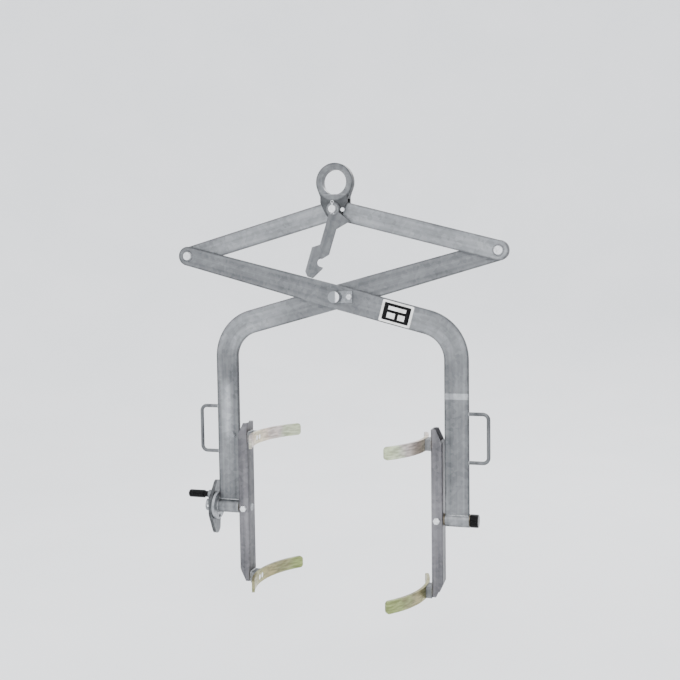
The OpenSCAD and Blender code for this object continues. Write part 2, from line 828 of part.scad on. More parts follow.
module left_thrust_washers() {
  color("peru") {
    thrust_washer(-1);
    translate([0, 0, axis_z])
      washer_x(shaft_r + run_gap, bush_rim_r + 1, -crank_in + end_play, -leg_out - flange_t - end_play);
  }
}

// Guard: a cup on the crank plate that the grip's neck slides into
module bolt_guard() {
  color(steel) translate([0, 0, axis_z + index_r]) difference() {
    bar_along_x(guard_r, -guard_end, -crank_out);
    bar_along_x(neck_r + 0.6, -guard_end - 1, -crank_out - guard_floor);
    bar_along_x(bolt_r + bolt_gap, -guard_end - 1, -crank_out + 1);
  }
}

// Index bolt, drawn withdrawn, and the black grip on its outer end
bolt_root = grip_in + grip_l - 10;

module index_bolt() {
  color(zinc) translate([0, 0, axis_z + index_r]) {
    bar_along_x(bolt_r, -bolt_root, -bolt_tip - 1.5);
    translate([-bolt_tip - 1.5, 0, 0]) rotate([0, 90, 0]) cylinder(r1 = bolt_r, r2 = bolt_r - 1.5, h = 1.5);
  }
}

module index_grip() {
  neck_l = bolt_travel + 2;
  round_r = 5;
  color("black") translate([-grip_in - grip_l, 0, axis_z + index_r]) rotate([0, 90, 0]) difference() {
    rotate_extrude() union() {
      square([neck_r, grip_l]);
      translate([0, round_r]) square([grip_r, grip_l - neck_l - round_r]);
      square([grip_r - round_r, round_r]);
      translate([grip_r - round_r, round_r]) intersection() {
        circle(r = round_r, $fn = 48);
        translate([0, -round_r]) square(round_r);
      }
    }
    translate([0, 0, grip_in + grip_l - bolt_root]) cylinder(r = bolt_r, h = grip_l);
  }
}

lifting_eye();
eye_cheeks();
top_pin();
top_pin_washers();
top_split_pin();
latch_stop_screw();
latch();
link(-1);  // left_link
outer_pin(-1);  // left_pin
outer_pin_washers(-1);  // left_pin_washers
outer_split_pin(-1);  // left_split_pin
link(1);  // right_link
outer_pin(1);  // right_pin
outer_pin_washers(1);  // right_pin_washers
outer_split_pin(1);  // right_split_pin
right_arm_plate();
centre_pin();
centre_pin_washers();
centre_split_pin();
keeper_plate();
keeper_screw();
bearing_tube(1);  // right_bearing_tube
bushes(1, bush_rim_t);  // right_bushes
handle(1);  // right_handle
left_arm_plate();
bearing_tube(-1);  // left_bearing_tube
bushes(-1, 0);  // left_bushes
handle(-1);  // left_handle
index_flange();
arm_screw();
jaw_bar(1);  // right_jaw_bar
color(zinc) jaw_shaft(1, cap_x + cap_l - cap_wall - 2);  // right_jaw_shaft
cross_bolt(1);  // right_cross_bolt
claw(1, claw_up);  // right_upper_claw
claw(1, -claw_down);  // right_lower_claw
claw_blocks(1);  // right_claw_blocks
claw_screws(1);  // right_claw_screws
color("peru") thrust_washer(1);  // right_thrust_washer
right_collar();
right_end_cap();
jaw_bar(-1);  // left_jaw_bar
left_jaw_shaft();
cross_bolt(-1);  // left_cross_bolt
claw(-1, claw_up);  // left_upper_claw
claw(-1, -claw_down);  // left_lower_claw
claw_blocks(-1);  // left_claw_blocks
claw_screws(-1);  // left_claw_screws
left_thrust_washers();
crank_plate();
crank_hub();
hub_pin();
bolt_guard();
index_bolt();
index_grip();
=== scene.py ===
# %% [markdown]
# # Turning clamp
#
# These scissor tongs hang from their lifting eye. Two turning jaws with curved claws grip
# a load, so that it can be lifted, tipped and locked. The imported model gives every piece
# that carries load, at its real size and place. This lesson dresses it: it rounds the
# edges of the plates, lays the weld beads, cuts threads, bends split pins, sticks on the
# label, and gives every piece its zinc, bronze or plastic finish.

# %% Load the frame
import bpy
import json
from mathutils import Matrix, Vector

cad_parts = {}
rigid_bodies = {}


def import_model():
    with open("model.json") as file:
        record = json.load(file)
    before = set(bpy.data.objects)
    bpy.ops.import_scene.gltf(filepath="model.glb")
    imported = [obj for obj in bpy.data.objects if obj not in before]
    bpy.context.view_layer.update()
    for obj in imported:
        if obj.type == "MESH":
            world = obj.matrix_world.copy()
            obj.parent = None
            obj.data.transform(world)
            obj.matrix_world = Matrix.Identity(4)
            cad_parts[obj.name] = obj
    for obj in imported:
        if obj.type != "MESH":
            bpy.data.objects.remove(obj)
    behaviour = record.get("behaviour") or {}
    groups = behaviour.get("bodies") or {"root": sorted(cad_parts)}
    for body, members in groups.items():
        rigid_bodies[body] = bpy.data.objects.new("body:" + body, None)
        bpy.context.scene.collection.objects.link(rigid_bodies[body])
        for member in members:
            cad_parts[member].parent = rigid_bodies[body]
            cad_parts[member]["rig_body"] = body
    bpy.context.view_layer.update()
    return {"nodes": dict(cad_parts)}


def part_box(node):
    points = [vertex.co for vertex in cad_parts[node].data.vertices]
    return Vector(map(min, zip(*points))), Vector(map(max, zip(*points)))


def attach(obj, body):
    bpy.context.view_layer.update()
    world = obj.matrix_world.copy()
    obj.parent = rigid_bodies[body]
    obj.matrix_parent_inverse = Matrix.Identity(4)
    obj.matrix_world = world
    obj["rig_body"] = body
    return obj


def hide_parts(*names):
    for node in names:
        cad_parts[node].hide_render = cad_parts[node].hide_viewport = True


for spare in list(bpy.data.objects):
    bpy.data.objects.remove(spare)
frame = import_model()

# %% [markdown]
# ## Reading places off the frame
#
# A new piece has to sit on what carries it, so its place is read from the frame and not
# typed in. A box gives a node's lowest and highest corner, and for a round pin the middle
# of its box is the pivot.

# %% Pivots, jaw axis and plate faces
import json
import math

import bmesh
from mathutils import Matrix, Vector

MM = 0.001


def low(node):
    """The lowest corner of a node's box."""
    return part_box(node)[0]


def high(node):
    """The highest corner of a node's box."""
    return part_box(node)[1]


def middle(node):
    """The middle of a node's box."""
    return (low(node) + high(node)) / 2


top_pivot = middle("top_pin")
left_pivot = middle("left_pin")
right_pivot = middle("right_pin")
centre_pivot = middle("centre_pin")
jaw_axis = middle("right_bearing_tube")
leg_in = low("right_bearing_tube").x
leg_out = high("right_bearing_tube").x
tube_r = high("right_bearing_tube").z - jaw_axis.z
plate_front = low("right_link").y
plate_back = high("right_link").y
slope = math.atan2(top_pivot.z - right_pivot.z, right_pivot.x - top_pivot.x)
print("bars slope by", round(math.degrees(slope), 2), "degrees; jaw axis at", round(jaw_axis.z, 4))

# %% [markdown]
# ## The camera
#
# The photograph looks at the clamp from a little to its right and from about the height of
# the linkage. The numbers were fitted to the clamp's pivots and edges. Yaw, pitch and roll
# are turned in that order, each about the axis that the one before it left. A constraint
# could aim the camera as well, but it would leave the roll to chance.

# %% Camera
CAMERA_PLACE = Vector((1.009, -3.123, -0.288))
CAMERA_YAW = math.radians(17.76)
CAMERA_PITCH = math.radians(-3.95)
CAMERA_ROLL = math.radians(-0.79)
CAMERA_LENS = 52.93

scene = bpy.context.scene
camera = bpy.data.objects.new("camera", bpy.data.cameras.new("camera"))
camera.data.lens = CAMERA_LENS
camera.matrix_world = (
    Matrix.Translation(CAMERA_PLACE)
    @ Matrix.Rotation(CAMERA_YAW, 4, "Z")
    @ Matrix.Rotation(math.radians(90) + CAMERA_PITCH, 4, "X")
    @ Matrix.Rotation(CAMERA_ROLL, 4, "Z")
)
scene.collection.objects.link(camera)
scene.camera = camera
print("camera at", tuple(camera.location))

# %% [markdown]
# ## A small kit for materials
#
# Every finish is a recipe of shader nodes that reads Object coordinates, which are metres
# in the frame, so a scale of 100 gives a pattern of about a centimetre. The same nodes
# could be joined by hand in the editor, but a recipe is quicker to change.

# %% Material kit
class Finish:
    """One procedural material, built node by node."""

    def __init__(self, name, metallic, roughness):
        self.material = bpy.data.materials.new(name)
        self.material.use_nodes = True
        self.tree = self.material.node_tree
        self.shader = self.tree.nodes["Principled BSDF"]
        self.shader.inputs["Metallic"].default_value = metallic
        self.shader.inputs["Roughness"].default_value = roughness
        self.place = self.node("ShaderNodeTexCoord").outputs["Object"]

    def node(self, kind, settings=None, **inputs):
        """Adds a node; settings are its own properties, inputs its sockets."""
        made = self.tree.nodes.new(kind)
        for key, value in (settings or {}).items():
            setattr(made, key, value)
        for key, value in inputs.items():
            name = key.replace("_", " ")
            socket = made.inputs[int(key[1:]) if key[1:].isdigit() else name]
            if isinstance(value, bpy.types.NodeSocket):
                self.tree.links.new(value, socket)
            else:
                socket.default_value = value
        return made

    def into(self, socket, value):
        """Joins a value to one of the shader's sockets."""
        self.tree.links.new(value, self.shader.inputs[socket])

    def math(self, operation, a, b=0.0):
        """One sum of two numbers or sockets."""
        return self.node("ShaderNodeMath", {"operation": operation}, _0=a, _1=b).outputs[0]

    def reach(self, a, b):
        """The long side of a right triangle."""
        return self.math("SQRT", self.math("ADD", self.math("MULTIPLY", a, a), self.math("MULTIPLY", b, b)))

    def stretched(self, turn, scale):
        """The place, turned so that X runs along a bar, then scaled."""
        turned = self.node("ShaderNodeMapping", Vector=self.place, Rotation=turn)
        return self.node("ShaderNodeMapping", Vector=turned.outputs[0], Scale=scale).outputs[0]

    def noise(self, vector, scale, detail):
        """Soft noise from 0 to 1."""
        made = self.node("ShaderNodeTexNoise", Vector=vector, Scale=scale, Detail=detail)
        return made.outputs["Fac"]

    def cells(self, vector, scale):
        """A random number for each cell of a crystal pattern."""
        made = self.node("ShaderNodeTexVoronoi", Vector=vector, Scale=scale)
        return self.node("ShaderNodeSeparateColor", Color=made.outputs["Color"]).outputs[0]

    def ramp(self, factor, *stops):
        """Colours along a factor, as (position, (red, green, blue))."""
        made = self.node("ShaderNodeValToRGB", Fac=factor)
        elements = made.color_ramp.elements
        while len(elements) < len(stops):
            elements.new(1.0)
        for element, (position, colour) in zip(elements, stops):
            element.position = position
            element.color = (*colour, 1.0)
        return made.outputs["Color"]

    def spread(self, value, from_low, from_high, to_low, to_high):
        """Maps one range of a number onto another, smoothly and clamped."""
        made = self.node(
            "ShaderNodeMapRange", {"interpolation_type": "SMOOTHSTEP"}, Value=value,
            From_Min=from_low, From_Max=from_high, To_Min=to_low, To_Max=to_high)
        return made.outputs[0]

    def darken(self, colour, factor):
        """A colour times a number."""
        made = self.node("ShaderNodeVectorMath", {"operation": "SCALE"}, _0=colour, Scale=factor)
        return made.outputs[0]

    def tint(self, colour, other):
        """A colour times a colour."""
        return self.node("ShaderNodeVectorMath", {"operation": "MULTIPLY"}, _0=colour, _1=other).outputs[0]

    def bump(self, height, distance, strength):
        """Fine relief; the distance is in metres."""
        made = self.node("ShaderNodeBump", Height=height, Distance=distance, Strength=strength)
        self.into("Normal", made.outputs[0])


print("material kit ready")

# %% [markdown]
# ## The stage
#
# The clamp hangs in the air, so the stage is a pale bowl: a flat floor whose rim rises in
# one smooth sweep. A curved backdrop would suit one camera, but the clamp is looked at from
# all sides, and the bowl shows no corner all round. A profile of a few vertices is spun a
# full turn about the upright axis, which is how a turned bowl is made.

# %% Pale bowl
FLOOR_Z = -1.62
FLOOR_R = 3.5
BOWL_R = 8.5
BOWL_STEPS = 96
SWEEP_STEPS = 12


def object_from(name, bm, material, smooth_under=180):
    """Turns a bmesh into an object with one material; edges sharper than the angle stay crisp."""
    mesh = bpy.data.meshes.new(name)
    bm.to_mesh(mesh)
    bm.free()
    mesh.materials.append(material)
    mesh.shade_smooth()
    if smooth_under < 180:
        mesh.set_sharp_from_angle(angle=math.radians(smooth_under))
    made = bpy.data.objects.new(name, mesh)
    scene.collection.objects.link(made)
    return made


def pale_paint():
    """Matt studio paint with the faintest mottling."""
    finish = Finish("pale_paint", 0.0, 0.9)
    mottle = finish.noise(finish.place, 1.5, 4.0)
    finish.into("Base Color", finish.ramp(mottle, (0.3, (0.80, 0.81, 0.82)), (0.7, (0.84, 0.84, 0.85))))
    return finish.material


bowl = bmesh.new()
rise = BOWL_R - FLOOR_R
profile = [Vector((0.0, 0.0, FLOOR_Z)), Vector((FLOOR_R, 0.0, FLOOR_Z))]
for step in range(1, SWEEP_STEPS + 1):
    turn = math.radians(90) * step / SWEEP_STEPS
    profile.append(Vector((FLOOR_R + rise * math.sin(turn), 0.0, FLOOR_Z + rise * (1 - math.cos(turn)))))
corners = [bowl.verts.new(point) for point in profile]
rim_line = [bowl.edges.new(pair) for pair in zip(corners, corners[1:])]
bmesh.ops.spin(
    bowl, geom=corners + rim_line, cent=(0, 0, 0), axis=(0, 0, 1), angle=math.radians(360),
    steps=BOWL_STEPS, use_merge=True)
bmesh.ops.remove_doubles(bowl, verts=bowl.verts, dist=MM)
bmesh.ops.recalc_face_normals(bowl, faces=bowl.faces)
bmesh.ops.reverse_faces(bowl, faces=bowl.faces)
floor = object_from("studio_bowl", bowl, pale_paint())
print("bowl faces:", len(floor.data.polygons))

# %% [markdown]
# ## Light
#
# Zinc shows mostly what it mirrors, so it is lit by large soft sources and a white sky.
# Small lamps would leave hard bright spots on it. The main softbox stands behind the camera
# and high, which brightens the plates that face it and leaves their undersides darker, as
# on the photograph.

# %% Softboxes and sky
CLAMP_MIDDLE = Vector((0.0, 0.0, -0.65))


def softbox(name, place, size, watts):
    """A square area light that looks at the middle of the clamp."""
    light = bpy.data.lights.new(name, "AREA")
    light.size = size
    light.energy = watts
    lamp = bpy.data.objects.new(name, light)
    aim = (CLAMP_MIDDLE - Vector(place)).to_track_quat("-Z", "Y").to_matrix().to_4x4()
    lamp.matrix_world = Matrix.Translation(place) @ aim
    lamp.visible_camera = False
    scene.collection.objects.link(lamp)


softbox("main_softbox", (1.2, -4.2, 2.2), 2.2, 110)
softbox("left_softbox", (-3.6, -1.8, 1.2), 1.8, 40)
softbox("rear_softbox", (0.8, 3.8, 2.4), 2.2, 110)
world = bpy.data.worlds.new("sky")
scene.world = world
world.use_nodes = True
sky = world.node_tree.nodes["Background"]
sky.inputs["Color"].default_value = (0.95, 0.97, 1.0, 1.0)
sky.inputs["Strength"].default_value = 2.2
print("lights:", [thing.name for thing in bpy.data.lights])

# %% [markdown]
# ## Galvanised plate
#
# The bars and plates are hot dipped in zinc. Close up the coat is a patchwork of crystals
# with soft cloudy blotches, and long streaks where it ran along the bar. The side faces of
# the plates are darkened with painted shade. A Voronoi pattern gives the crystals,
# stretched noise the streaks, and the direction of the surface tells a face from a side
# face. A picture of real zinc would need a map on each piece and would repeat. These
# patterns fill space and run on from one face to the next.

# %% The zinc coat
ZINC_DARK = (0.105, 0.110, 0.117)
ZINC_LIGHT = (0.335, 0.345, 0.355)
DARK_UNDER = 0.27
LIGHT_OVER = 0.67
STREAK_ALONG = 2.5
STREAK_ACROSS = 60
CLOUDS = 7
CRYSTALS = 85
GRAIN = 900
COAT_RELIEF = 0.12 * MM
# The share of brightness that the painted shade leaves on a plate's side faces.
SIDE_SHADE = 0.5


def coat(finish, streaks, light):
    """The zinc coat's colour, roughness and relief, after a streak pattern from 0 to 1."""
    crystals = finish.cells(finish.place, CRYSTALS)
    clouds = finish.noise(finish.place, CLOUDS, 4.0)
    grain = finish.noise(finish.place, GRAIN, 2.0)
    tone = finish.math("ADD", finish.math("MULTIPLY", streaks, 0.50), finish.math("MULTIPLY", clouds, 0.40))
    tone = finish.math("ADD", tone, finish.math("MULTIPLY", crystals, 0.10))
    dark = tuple(c * light for c in ZINC_DARK)
    pale = tuple(c * light for c in ZINC_LIGHT)
    colour = finish.ramp(tone, (DARK_UNDER, dark), (LIGHT_OVER, pale))
    finish.into("Roughness", finish.spread(tone, 0.3, 0.7, 0.52, 0.38))
    height = finish.math("ADD", finish.math("MULTIPLY", crystals, 0.5), finish.math("MULTIPLY", grain, 0.5))
    finish.bump(height, COAT_RELIEF, 0.6)
    return colour


def painted_side_shade(finish, colour, axis, shade):
    """Paints shade on the faces that don't look along the plate's own axis."""
    facing = finish.node("ShaderNodeTexCoord").outputs["Normal"]
    split = finish.node("ShaderNodeSeparateXYZ", Vector=facing)
    flat = finish.math("ABSOLUTE", split.outputs[axis])
    return finish.darken(colour, finish.spread(flat, 0.25, 0.95, shade, 1.0))


def galvanised_bar(name, turn, light, axis=1, shade=SIDE_SHADE, hue=(1.0, 1.0, 1.0)):
    """Zinc with streaks along a bar that is turned by an angle about Y, and painted shade on its side faces.
    """
    finish = Finish(name, 0.85, 0.45)
    along = finish.stretched((0, turn, 0), (STREAK_ALONG, STREAK_ACROSS, STREAK_ACROSS))
    streaks = finish.noise(along, 1.0, 4.0)
    colour = finish.tint(coat(finish, streaks, light), hue)
    finish.into("Base Color", painted_side_shade(finish, colour, axis, shade))
    return finish.material


zinc_upright = galvanised_bar("zinc_upright", math.radians(90), light=0.85)
# A brighter copy of the zinc for the hub and the index flange: painted highlight.
zinc_hub_painted_highlight = galvanised_bar("zinc_hub_painted_highlight", 0.0, light=1.35, axis=0, shade=0.9)
zinc_crank = galvanised_bar("zinc_crank", math.radians(90), light=0.62, axis=0)
zinc_jaw = galvanised_bar("zinc_jaw", math.radians(90), light=0.65, shade=0.62, hue=(1.03, 0.975, 1.0))
zinc_latch = galvanised_bar("zinc_latch", math.radians(70), light=0.62)
zinc_handle = galvanised_bar("zinc_handle", math.radians(90), light=0.50, shade=0.8)
print("zinc coat ready")

# %% [markdown]
# ### Dark rims and pin halos
#
# A dark rim is painted shade beside a bar's edge. It needs to know how far a spot is from
# that edge, so the place is first turned into a distance along and across the bar. Noise
# makes the rim ragged. Round each pin a ring of the plate is darkened, after the distance
# from the pin's middle.

# %% Rims and halos
RIM_DEEP = 7 * MM
RIM_WANDER = 0.8
RIM_SHADE = 0.42
HALO_WIDE = 5 * MM
HALO_SHADE = 0.55


def along_and_across(finish, start, turn):
    """How far along and across a bar that leaves a point at an angle below +X."""
    parts = finish.node("ShaderNodeSeparateXYZ", Vector=finish.place)
    right = finish.math("SUBTRACT", parts.outputs["X"], start.x)
    up = finish.math("SUBTRACT", parts.outputs["Z"], start.z)
    cos, sin = math.cos(turn), math.sin(turn)
    along = finish.math("SUBTRACT", finish.math("MULTIPLY", right, cos), finish.math("MULTIPLY", up, sin))
    across = finish.math("ADD", finish.math("MULTIPLY", right, sin), finish.math("MULTIPLY", up, cos))
    return along, across


def dark_rim(finish, colour, from_edge):
    """Paints shade as a ragged dark band beside an edge."""
    ragged = finish.noise(finish.place, 45, 3.0)
    wander = finish.math("MULTIPLY", finish.math("SUBTRACT", ragged, 0.5), RIM_DEEP * RIM_WANDER)
    depth = finish.math("ADD", from_edge, wander)
    return finish.darken(colour, finish.spread(depth, 0.0, RIM_DEEP, RIM_SHADE, 1.0))


def pin_halo(finish, colour, pivot, radius):
    """Darkens a ring round a pin."""
    right, up = along_and_across(finish, pivot, 0.0)
    away = finish.reach(right, up)
    return finish.darken(colour, finish.spread(away, radius, radius + HALO_WIDE, HALO_SHADE, 1.0))


print("a rim is", round(RIM_DEEP / MM, 1), "mm deep")

# %% [markdown]
# ### The links
#
# A link is all the spots within half its width of the line between its pivots. So the
# distance to that line gives the painted rim shade on its sides and round its ends alike,
# and the streaks run along it.

# %% Galvanised steel for the links
LINK_HALF = high("right_link").x - right_pivot.x
PIN_HEAD_R = (high("right_pin").x - low("right_pin").x) / 2


def galvanised_link(name, end, light):
    """Zinc for the link from the top pivot to an outer pivot."""
    finish = Finish(name, 0.85, 0.45)
    way = end - top_pivot
    turn = math.atan2(-way.z, way.x)
    along, across = along_and_across(finish, top_pivot, turn)
    lane = finish.node(
        "ShaderNodeCombineXYZ", X=finish.math("MULTIPLY", across, STREAK_ACROSS),
        Y=finish.math("MULTIPLY", along, STREAK_ALONG))
    colour = coat(finish, finish.noise(lane.outputs[0], 1.0, 4.0), light)
    past = finish.math("MAXIMUM", finish.math("SUBTRACT", along, way.xz.length), 0.0)
    over = finish.math("ADD", past, finish.math("MINIMUM", along, 0.0))
    colour = dark_rim(finish, colour, finish.math("SUBTRACT", LINK_HALF, finish.reach(across, over)))
    colour = pin_halo(finish, colour, end, PIN_HEAD_R)
    finish.into("Base Color", painted_side_shade(finish, colour, 1, SIDE_SHADE))
    return finish.material


zinc_left_link = galvanised_link("zinc_left_link", left_pivot, 0.98)
zinc_right_link = galvanised_link("zinc_right_link", right_pivot, 1.0)
print("link half width", round(LINK_HALF, 4))

# %% [markdown]
# ### The lifting eye
#
# Years of lifting have rubbed the ring dull and dark. Zinc has no long side to run along
# here, so plain noise mottles the coat in place of streaks. The ring is round, so the
# distance from its middle gives how far a spot is from the outer rim, where a band of
# painted shade lies.

# %% Worn zinc for the eye
EYE_R = high("lifting_eye").x
EYE_HALO_R = 21 * MM


def galvanised_eye(name):
    """Mottled dark zinc with painted shade along its outer rim and a darkened ring round the top pin."""
    finish = Finish(name, 0.85, 0.45)
    colour = coat(finish, finish.noise(finish.place, 55, 4.0), 0.66)
    right, up = along_and_across(finish, Vector((0, 0, 0)), 0.0)
    from_edge = finish.math("SUBTRACT", EYE_R, finish.reach(right, up))
    colour = dark_rim(finish, colour, from_edge)
    colour = pin_halo(finish, colour, top_pivot, EYE_HALO_R)
    finish.into("Base Color", painted_side_shade(finish, colour, 1, 0.6))
    return finish.material


zinc_eye = galvanised_eye("zinc_eye")
print("eye radius", round(EYE_R, 4))

# %% [markdown]
# ### The bent arms
#
# An arm slopes, bends and then hangs upright, and the rolling streaks follow it round.
# Straight streaks would cut across the bend. So they are drawn after the distance across
# the bar: measured outwards on the leg, along a radius in the bend, and square to the slope
# beyond it. Two soft masks, from the angle round the bend's centre, join the three.

# %% Across a bent arm
LEG_MIDDLE = (leg_in + leg_out) / 2
ARM_HALF = (leg_out - leg_in) / 2
BEND_R = 0.125
MASK_HALF = 0.02
bend_x = LEG_MIDDLE - BEND_R
bend_z = centre_pivot.z - bend_x * math.tan(slope) - BEND_R / math.cos(slope)


def arm_across(finish, side):
    """The distance from the arm's middle line, and the angle round its bend."""
    parts = finish.node("ShaderNodeSeparateXYZ", Vector=finish.place)
    out = finish.math("SUBTRACT", finish.math("MULTIPLY", parts.outputs["X"], side), bend_x)
    up = finish.math("SUBTRACT", parts.outputs["Z"], bend_z)
    across_slope = finish.math(
        "ADD", finish.math("MULTIPLY", out, math.sin(slope)), finish.math("MULTIPLY", up, math.cos(slope)))
    angle = finish.math("ARCTAN2", up, out)
    bend_end = math.radians(90) - slope
    on_leg = finish.spread(angle, -MASK_HALF, MASK_HALF, 1.0, 0.0)
    on_slope = finish.spread(angle, bend_end - MASK_HALF, bend_end + MASK_HALF, 0.0, 1.0)
    across = finish.node("ShaderNodeMix", Factor=on_leg, A=finish.reach(out, up), B=out).outputs[0]
    across = finish.node("ShaderNodeMix", Factor=on_slope, A=across, B=across_slope).outputs[0]
    return finish.math("SUBTRACT", across, BEND_R), angle


print("bend centre at", round(bend_x, 4), round(bend_z, 4))

# %% [markdown]
# ### Painted highlights on the legs and bends, and a pale band
#
# A painted highlight brightens a stretch of the left leg along its middle, and the right
# leg gets a trace of painted shade there. Painted highlights also brighten the bends, the
# left one most. A pale band crosses the right leg. Each is a factor for the colour, taken
# from the height or from the angle round the bend.

# %% Brighter stretches of an arm
BAND_DROP = 0.318
BAND_HALF = 0.008
SHEEN_OUT = 0.003
SHEEN_HALF = 0.030
SHEEN_TOP = (0.26, 0.33)
SHEEN_BOTTOM = (0.43, 0.51)
GLOW_BEGIN = (0.0, 0.5)
GLOW_END = (1.5, 2.4)


def painted_leg_sheen(finish, across, height, gain):
    """Painted highlight down the middle of the leg, as a brightness factor; a gain below 0 paints shade there
    instead.
    """
    from_sheen_line = finish.math("ABSOLUTE", finish.math("SUBTRACT", across, SHEEN_OUT))
    beside = finish.spread(from_sheen_line, 0.0, SHEEN_HALF, gain, 0.0)
    drop = finish.math("SUBTRACT", centre_pivot.z, height)
    above = finish.spread(drop, *SHEEN_BOTTOM, 1.0, 0.0)
    below = finish.spread(drop, *SHEEN_TOP, 0.0, 1.0)
    glow = finish.math("MULTIPLY", beside, finish.math("MULTIPLY", above, below))
    return finish.math("ADD", glow, 1.0)


def painted_bend_glow(finish, angle, gain):
    """A painted highlight on the bend and the slope beside it, as a brightness factor."""
    begin = finish.spread(angle, *GLOW_BEGIN, 0.0, gain)
    end = finish.spread(angle, *GLOW_END, 1.0, 0.0)
    return finish.math("ADD", finish.math("MULTIPLY", begin, end), 1.0)


def pale_band(finish, height, gain):
    """How much brighter the pale band across the leg is."""
    away = finish.math("ABSOLUTE", finish.math("SUBTRACT", height, centre_pivot.z - BAND_DROP))
    return finish.spread(away, BAND_HALF, BAND_HALF * 1.4, gain, 1.0)


# The painted sheen fades in and out between these drops under the centre pivot.
print("run of zinc from", SHEEN_TOP[0], "to", SHEEN_BOTTOM[1], "m under the centre pivot")

# %% [markdown]
# ### One zinc for each arm
#
# Beyond the centre pivot an arm tapers to its round end, so the half width that gives the
# painted rim shade is read off between the two. Where the arms cross, the painted rim
# shade is lifted by a rim's depth.

# %% Galvanised steel for the bent arms
ARM_END_R = left_pivot.x - low("right_arm_plate").x
# Where the arms cross, the painted rim shade is lifted between these distances from the centre pivot.
RIM_LIFT_FROM = 0.085
RIM_LIFT_TO = 0.125


def from_rim(finish, across, along):
    """How far a spot is from the arm's edge, which tapers past the centre pivot to a round end."""
    bar_l = (right_pivot - centre_pivot).xz.length
    half = finish.node(
        "ShaderNodeMapRange", Value=along, From_Min=-bar_l, From_Max=0.0, To_Min=ARM_END_R, To_Max=ARM_HALF)
    over = finish.math("MINIMUM", finish.math("ADD", along, bar_l), 0.0)
    return finish.math("SUBTRACT", half.outputs[0], finish.reach(across, over))


def galvanised_arm(name, side, pin, light, band, sheen, glow):
    """Zinc whose streaks follow an arm round its bend; side is 1 for the arm with the right leg."""
    finish = Finish(name, 0.85, 0.45)
    across, angle = arm_across(finish, side)
    parts = finish.node("ShaderNodeSeparateXYZ", Vector=finish.place)
    run = finish.math("MULTIPLY", angle, 0.5)
    lane = finish.node(
        "ShaderNodeCombineXYZ", X=finish.math("MULTIPLY", across, STREAK_ACROSS), Y=run, Z=parts.outputs["Y"])
    colour = coat(finish, finish.noise(lane.outputs[0], 1.0, 4.0), light)
    turn = slope if side > 0 else math.radians(180) - slope
    along = along_and_across(finish, centre_pivot, turn)[0]
    near_centre = finish.spread(finish.math("ABSOLUTE", along), RIM_LIFT_FROM, RIM_LIFT_TO, RIM_DEEP, 0.0)
    colour = dark_rim(finish, colour, finish.math("ADD", from_rim(finish, across, along), near_centre))
    colour = pin_halo(finish, colour, pin, PIN_HEAD_R)
    height = parts.outputs["Z"]
    # Painted highlight down the leg and on the bend; a negative gain paints shade on the leg.
    colour = finish.darken(colour, painted_leg_sheen(finish, across, height, sheen))
    colour = finish.darken(colour, painted_bend_glow(finish, angle, glow))
    colour = finish.darken(colour, pale_band(finish, height, band))
    finish.into("Base Color", painted_side_shade(finish, colour, 1, SIDE_SHADE))
    return finish.material


# The right leg gets a trace of painted shade, the left leg a painted highlight.
zinc_right_arm = galvanised_arm(
    "zinc_right_arm", 1, left_pivot, light=0.72, band=1.95, sheen=-0.05, glow=0.16)
zinc_left_arm = galvanised_arm(
    "zinc_left_arm", -1, right_pivot, light=0.70, band=1.0, sheen=1.05, glow=0.50)
print("arm end radius", round(ARM_END_R, 4))

# %% [markdown]
# ## Bright fasteners
#
# Pins, screws and washers are turned and zinc plated: brighter and smoother than the
# dipped plates, with fine rings about their own axis. The rings are a sine of the distance
# from that axis, and only a relief in the material, because real grooves of a few
# hundredths of a millimetre would take thousands of faces. The flange of the centre pin
# has lost its rings to wear: it is dull, with a painted highlight on its right side, where
# it is also smoother.

# %% Turned zinc
RING_PITCH = 0.9 * MM
RING_RELIEF = 0.02 * MM
GRAIN_RELIEF = 0.05 * MM
DULL_PLATING = (0.30, 0.31, 0.32)


def turned_zinc(name, centre, axis, colour=(0.90, 0.91, 0.92)):
    """Bright plated steel with tool rings about an axis (0 for X, 1 for Y)."""
    finish = Finish(name, 1.0, 0.27)
    flat = [1.0, 1.0, 1.0]
    flat[axis] = 0.0
    centred = finish.node("ShaderNodeMapping", Vector=finish.place, Location=tuple(-c for c in centre))
    from_axis = finish.tint(centred.outputs[0], tuple(flat))
    distance = finish.node("ShaderNodeVectorMath", {"operation": "LENGTH"}, _0=from_axis)
    turns = finish.math("MULTIPLY", distance.outputs["Value"], math.tau / RING_PITCH)
    rings = finish.math("SINE", turns)
    stain = finish.noise(finish.place, 60, 4.0)
    dark = tuple(c * 0.62 for c in colour)
    finish.into("Base Color", finish.ramp(stain, (0.32, dark), (0.6, colour)))
    finish.into("Roughness", finish.spread(stain, 0.3, 0.7, 0.42, 0.22))
    finish.bump(rings, RING_RELIEF, 0.5)
    return finish.material


def flange_painted_glint(name):
    """Dull plating on the centre pin's flange, with a painted highlight on its right side, where it is also
    smoother.
    """
    finish = Finish(name, 1.0, 0.3)
    parts = finish.node("ShaderNodeSeparateXYZ", Vector=finish.place)
    wander = finish.math("MULTIPLY", finish.noise(finish.place, 120, 3.0), 5 * MM)
    glint = finish.spread(finish.math("ADD", parts.outputs["X"], wander), 6 * MM, 12 * MM, 0.0, 1.0)
    finish.into("Base Color", finish.ramp(glint, (0.0, (0.26, 0.27, 0.28)), (1.0, (0.96, 0.96, 0.97))))
    finish.into("Roughness", finish.spread(glint, 0.0, 1.0, 0.42, 0.16))
    finish.bump(finish.noise(finish.place, GRAIN, 2.0), GRAIN_RELIEF, 0.5)
    return finish.material


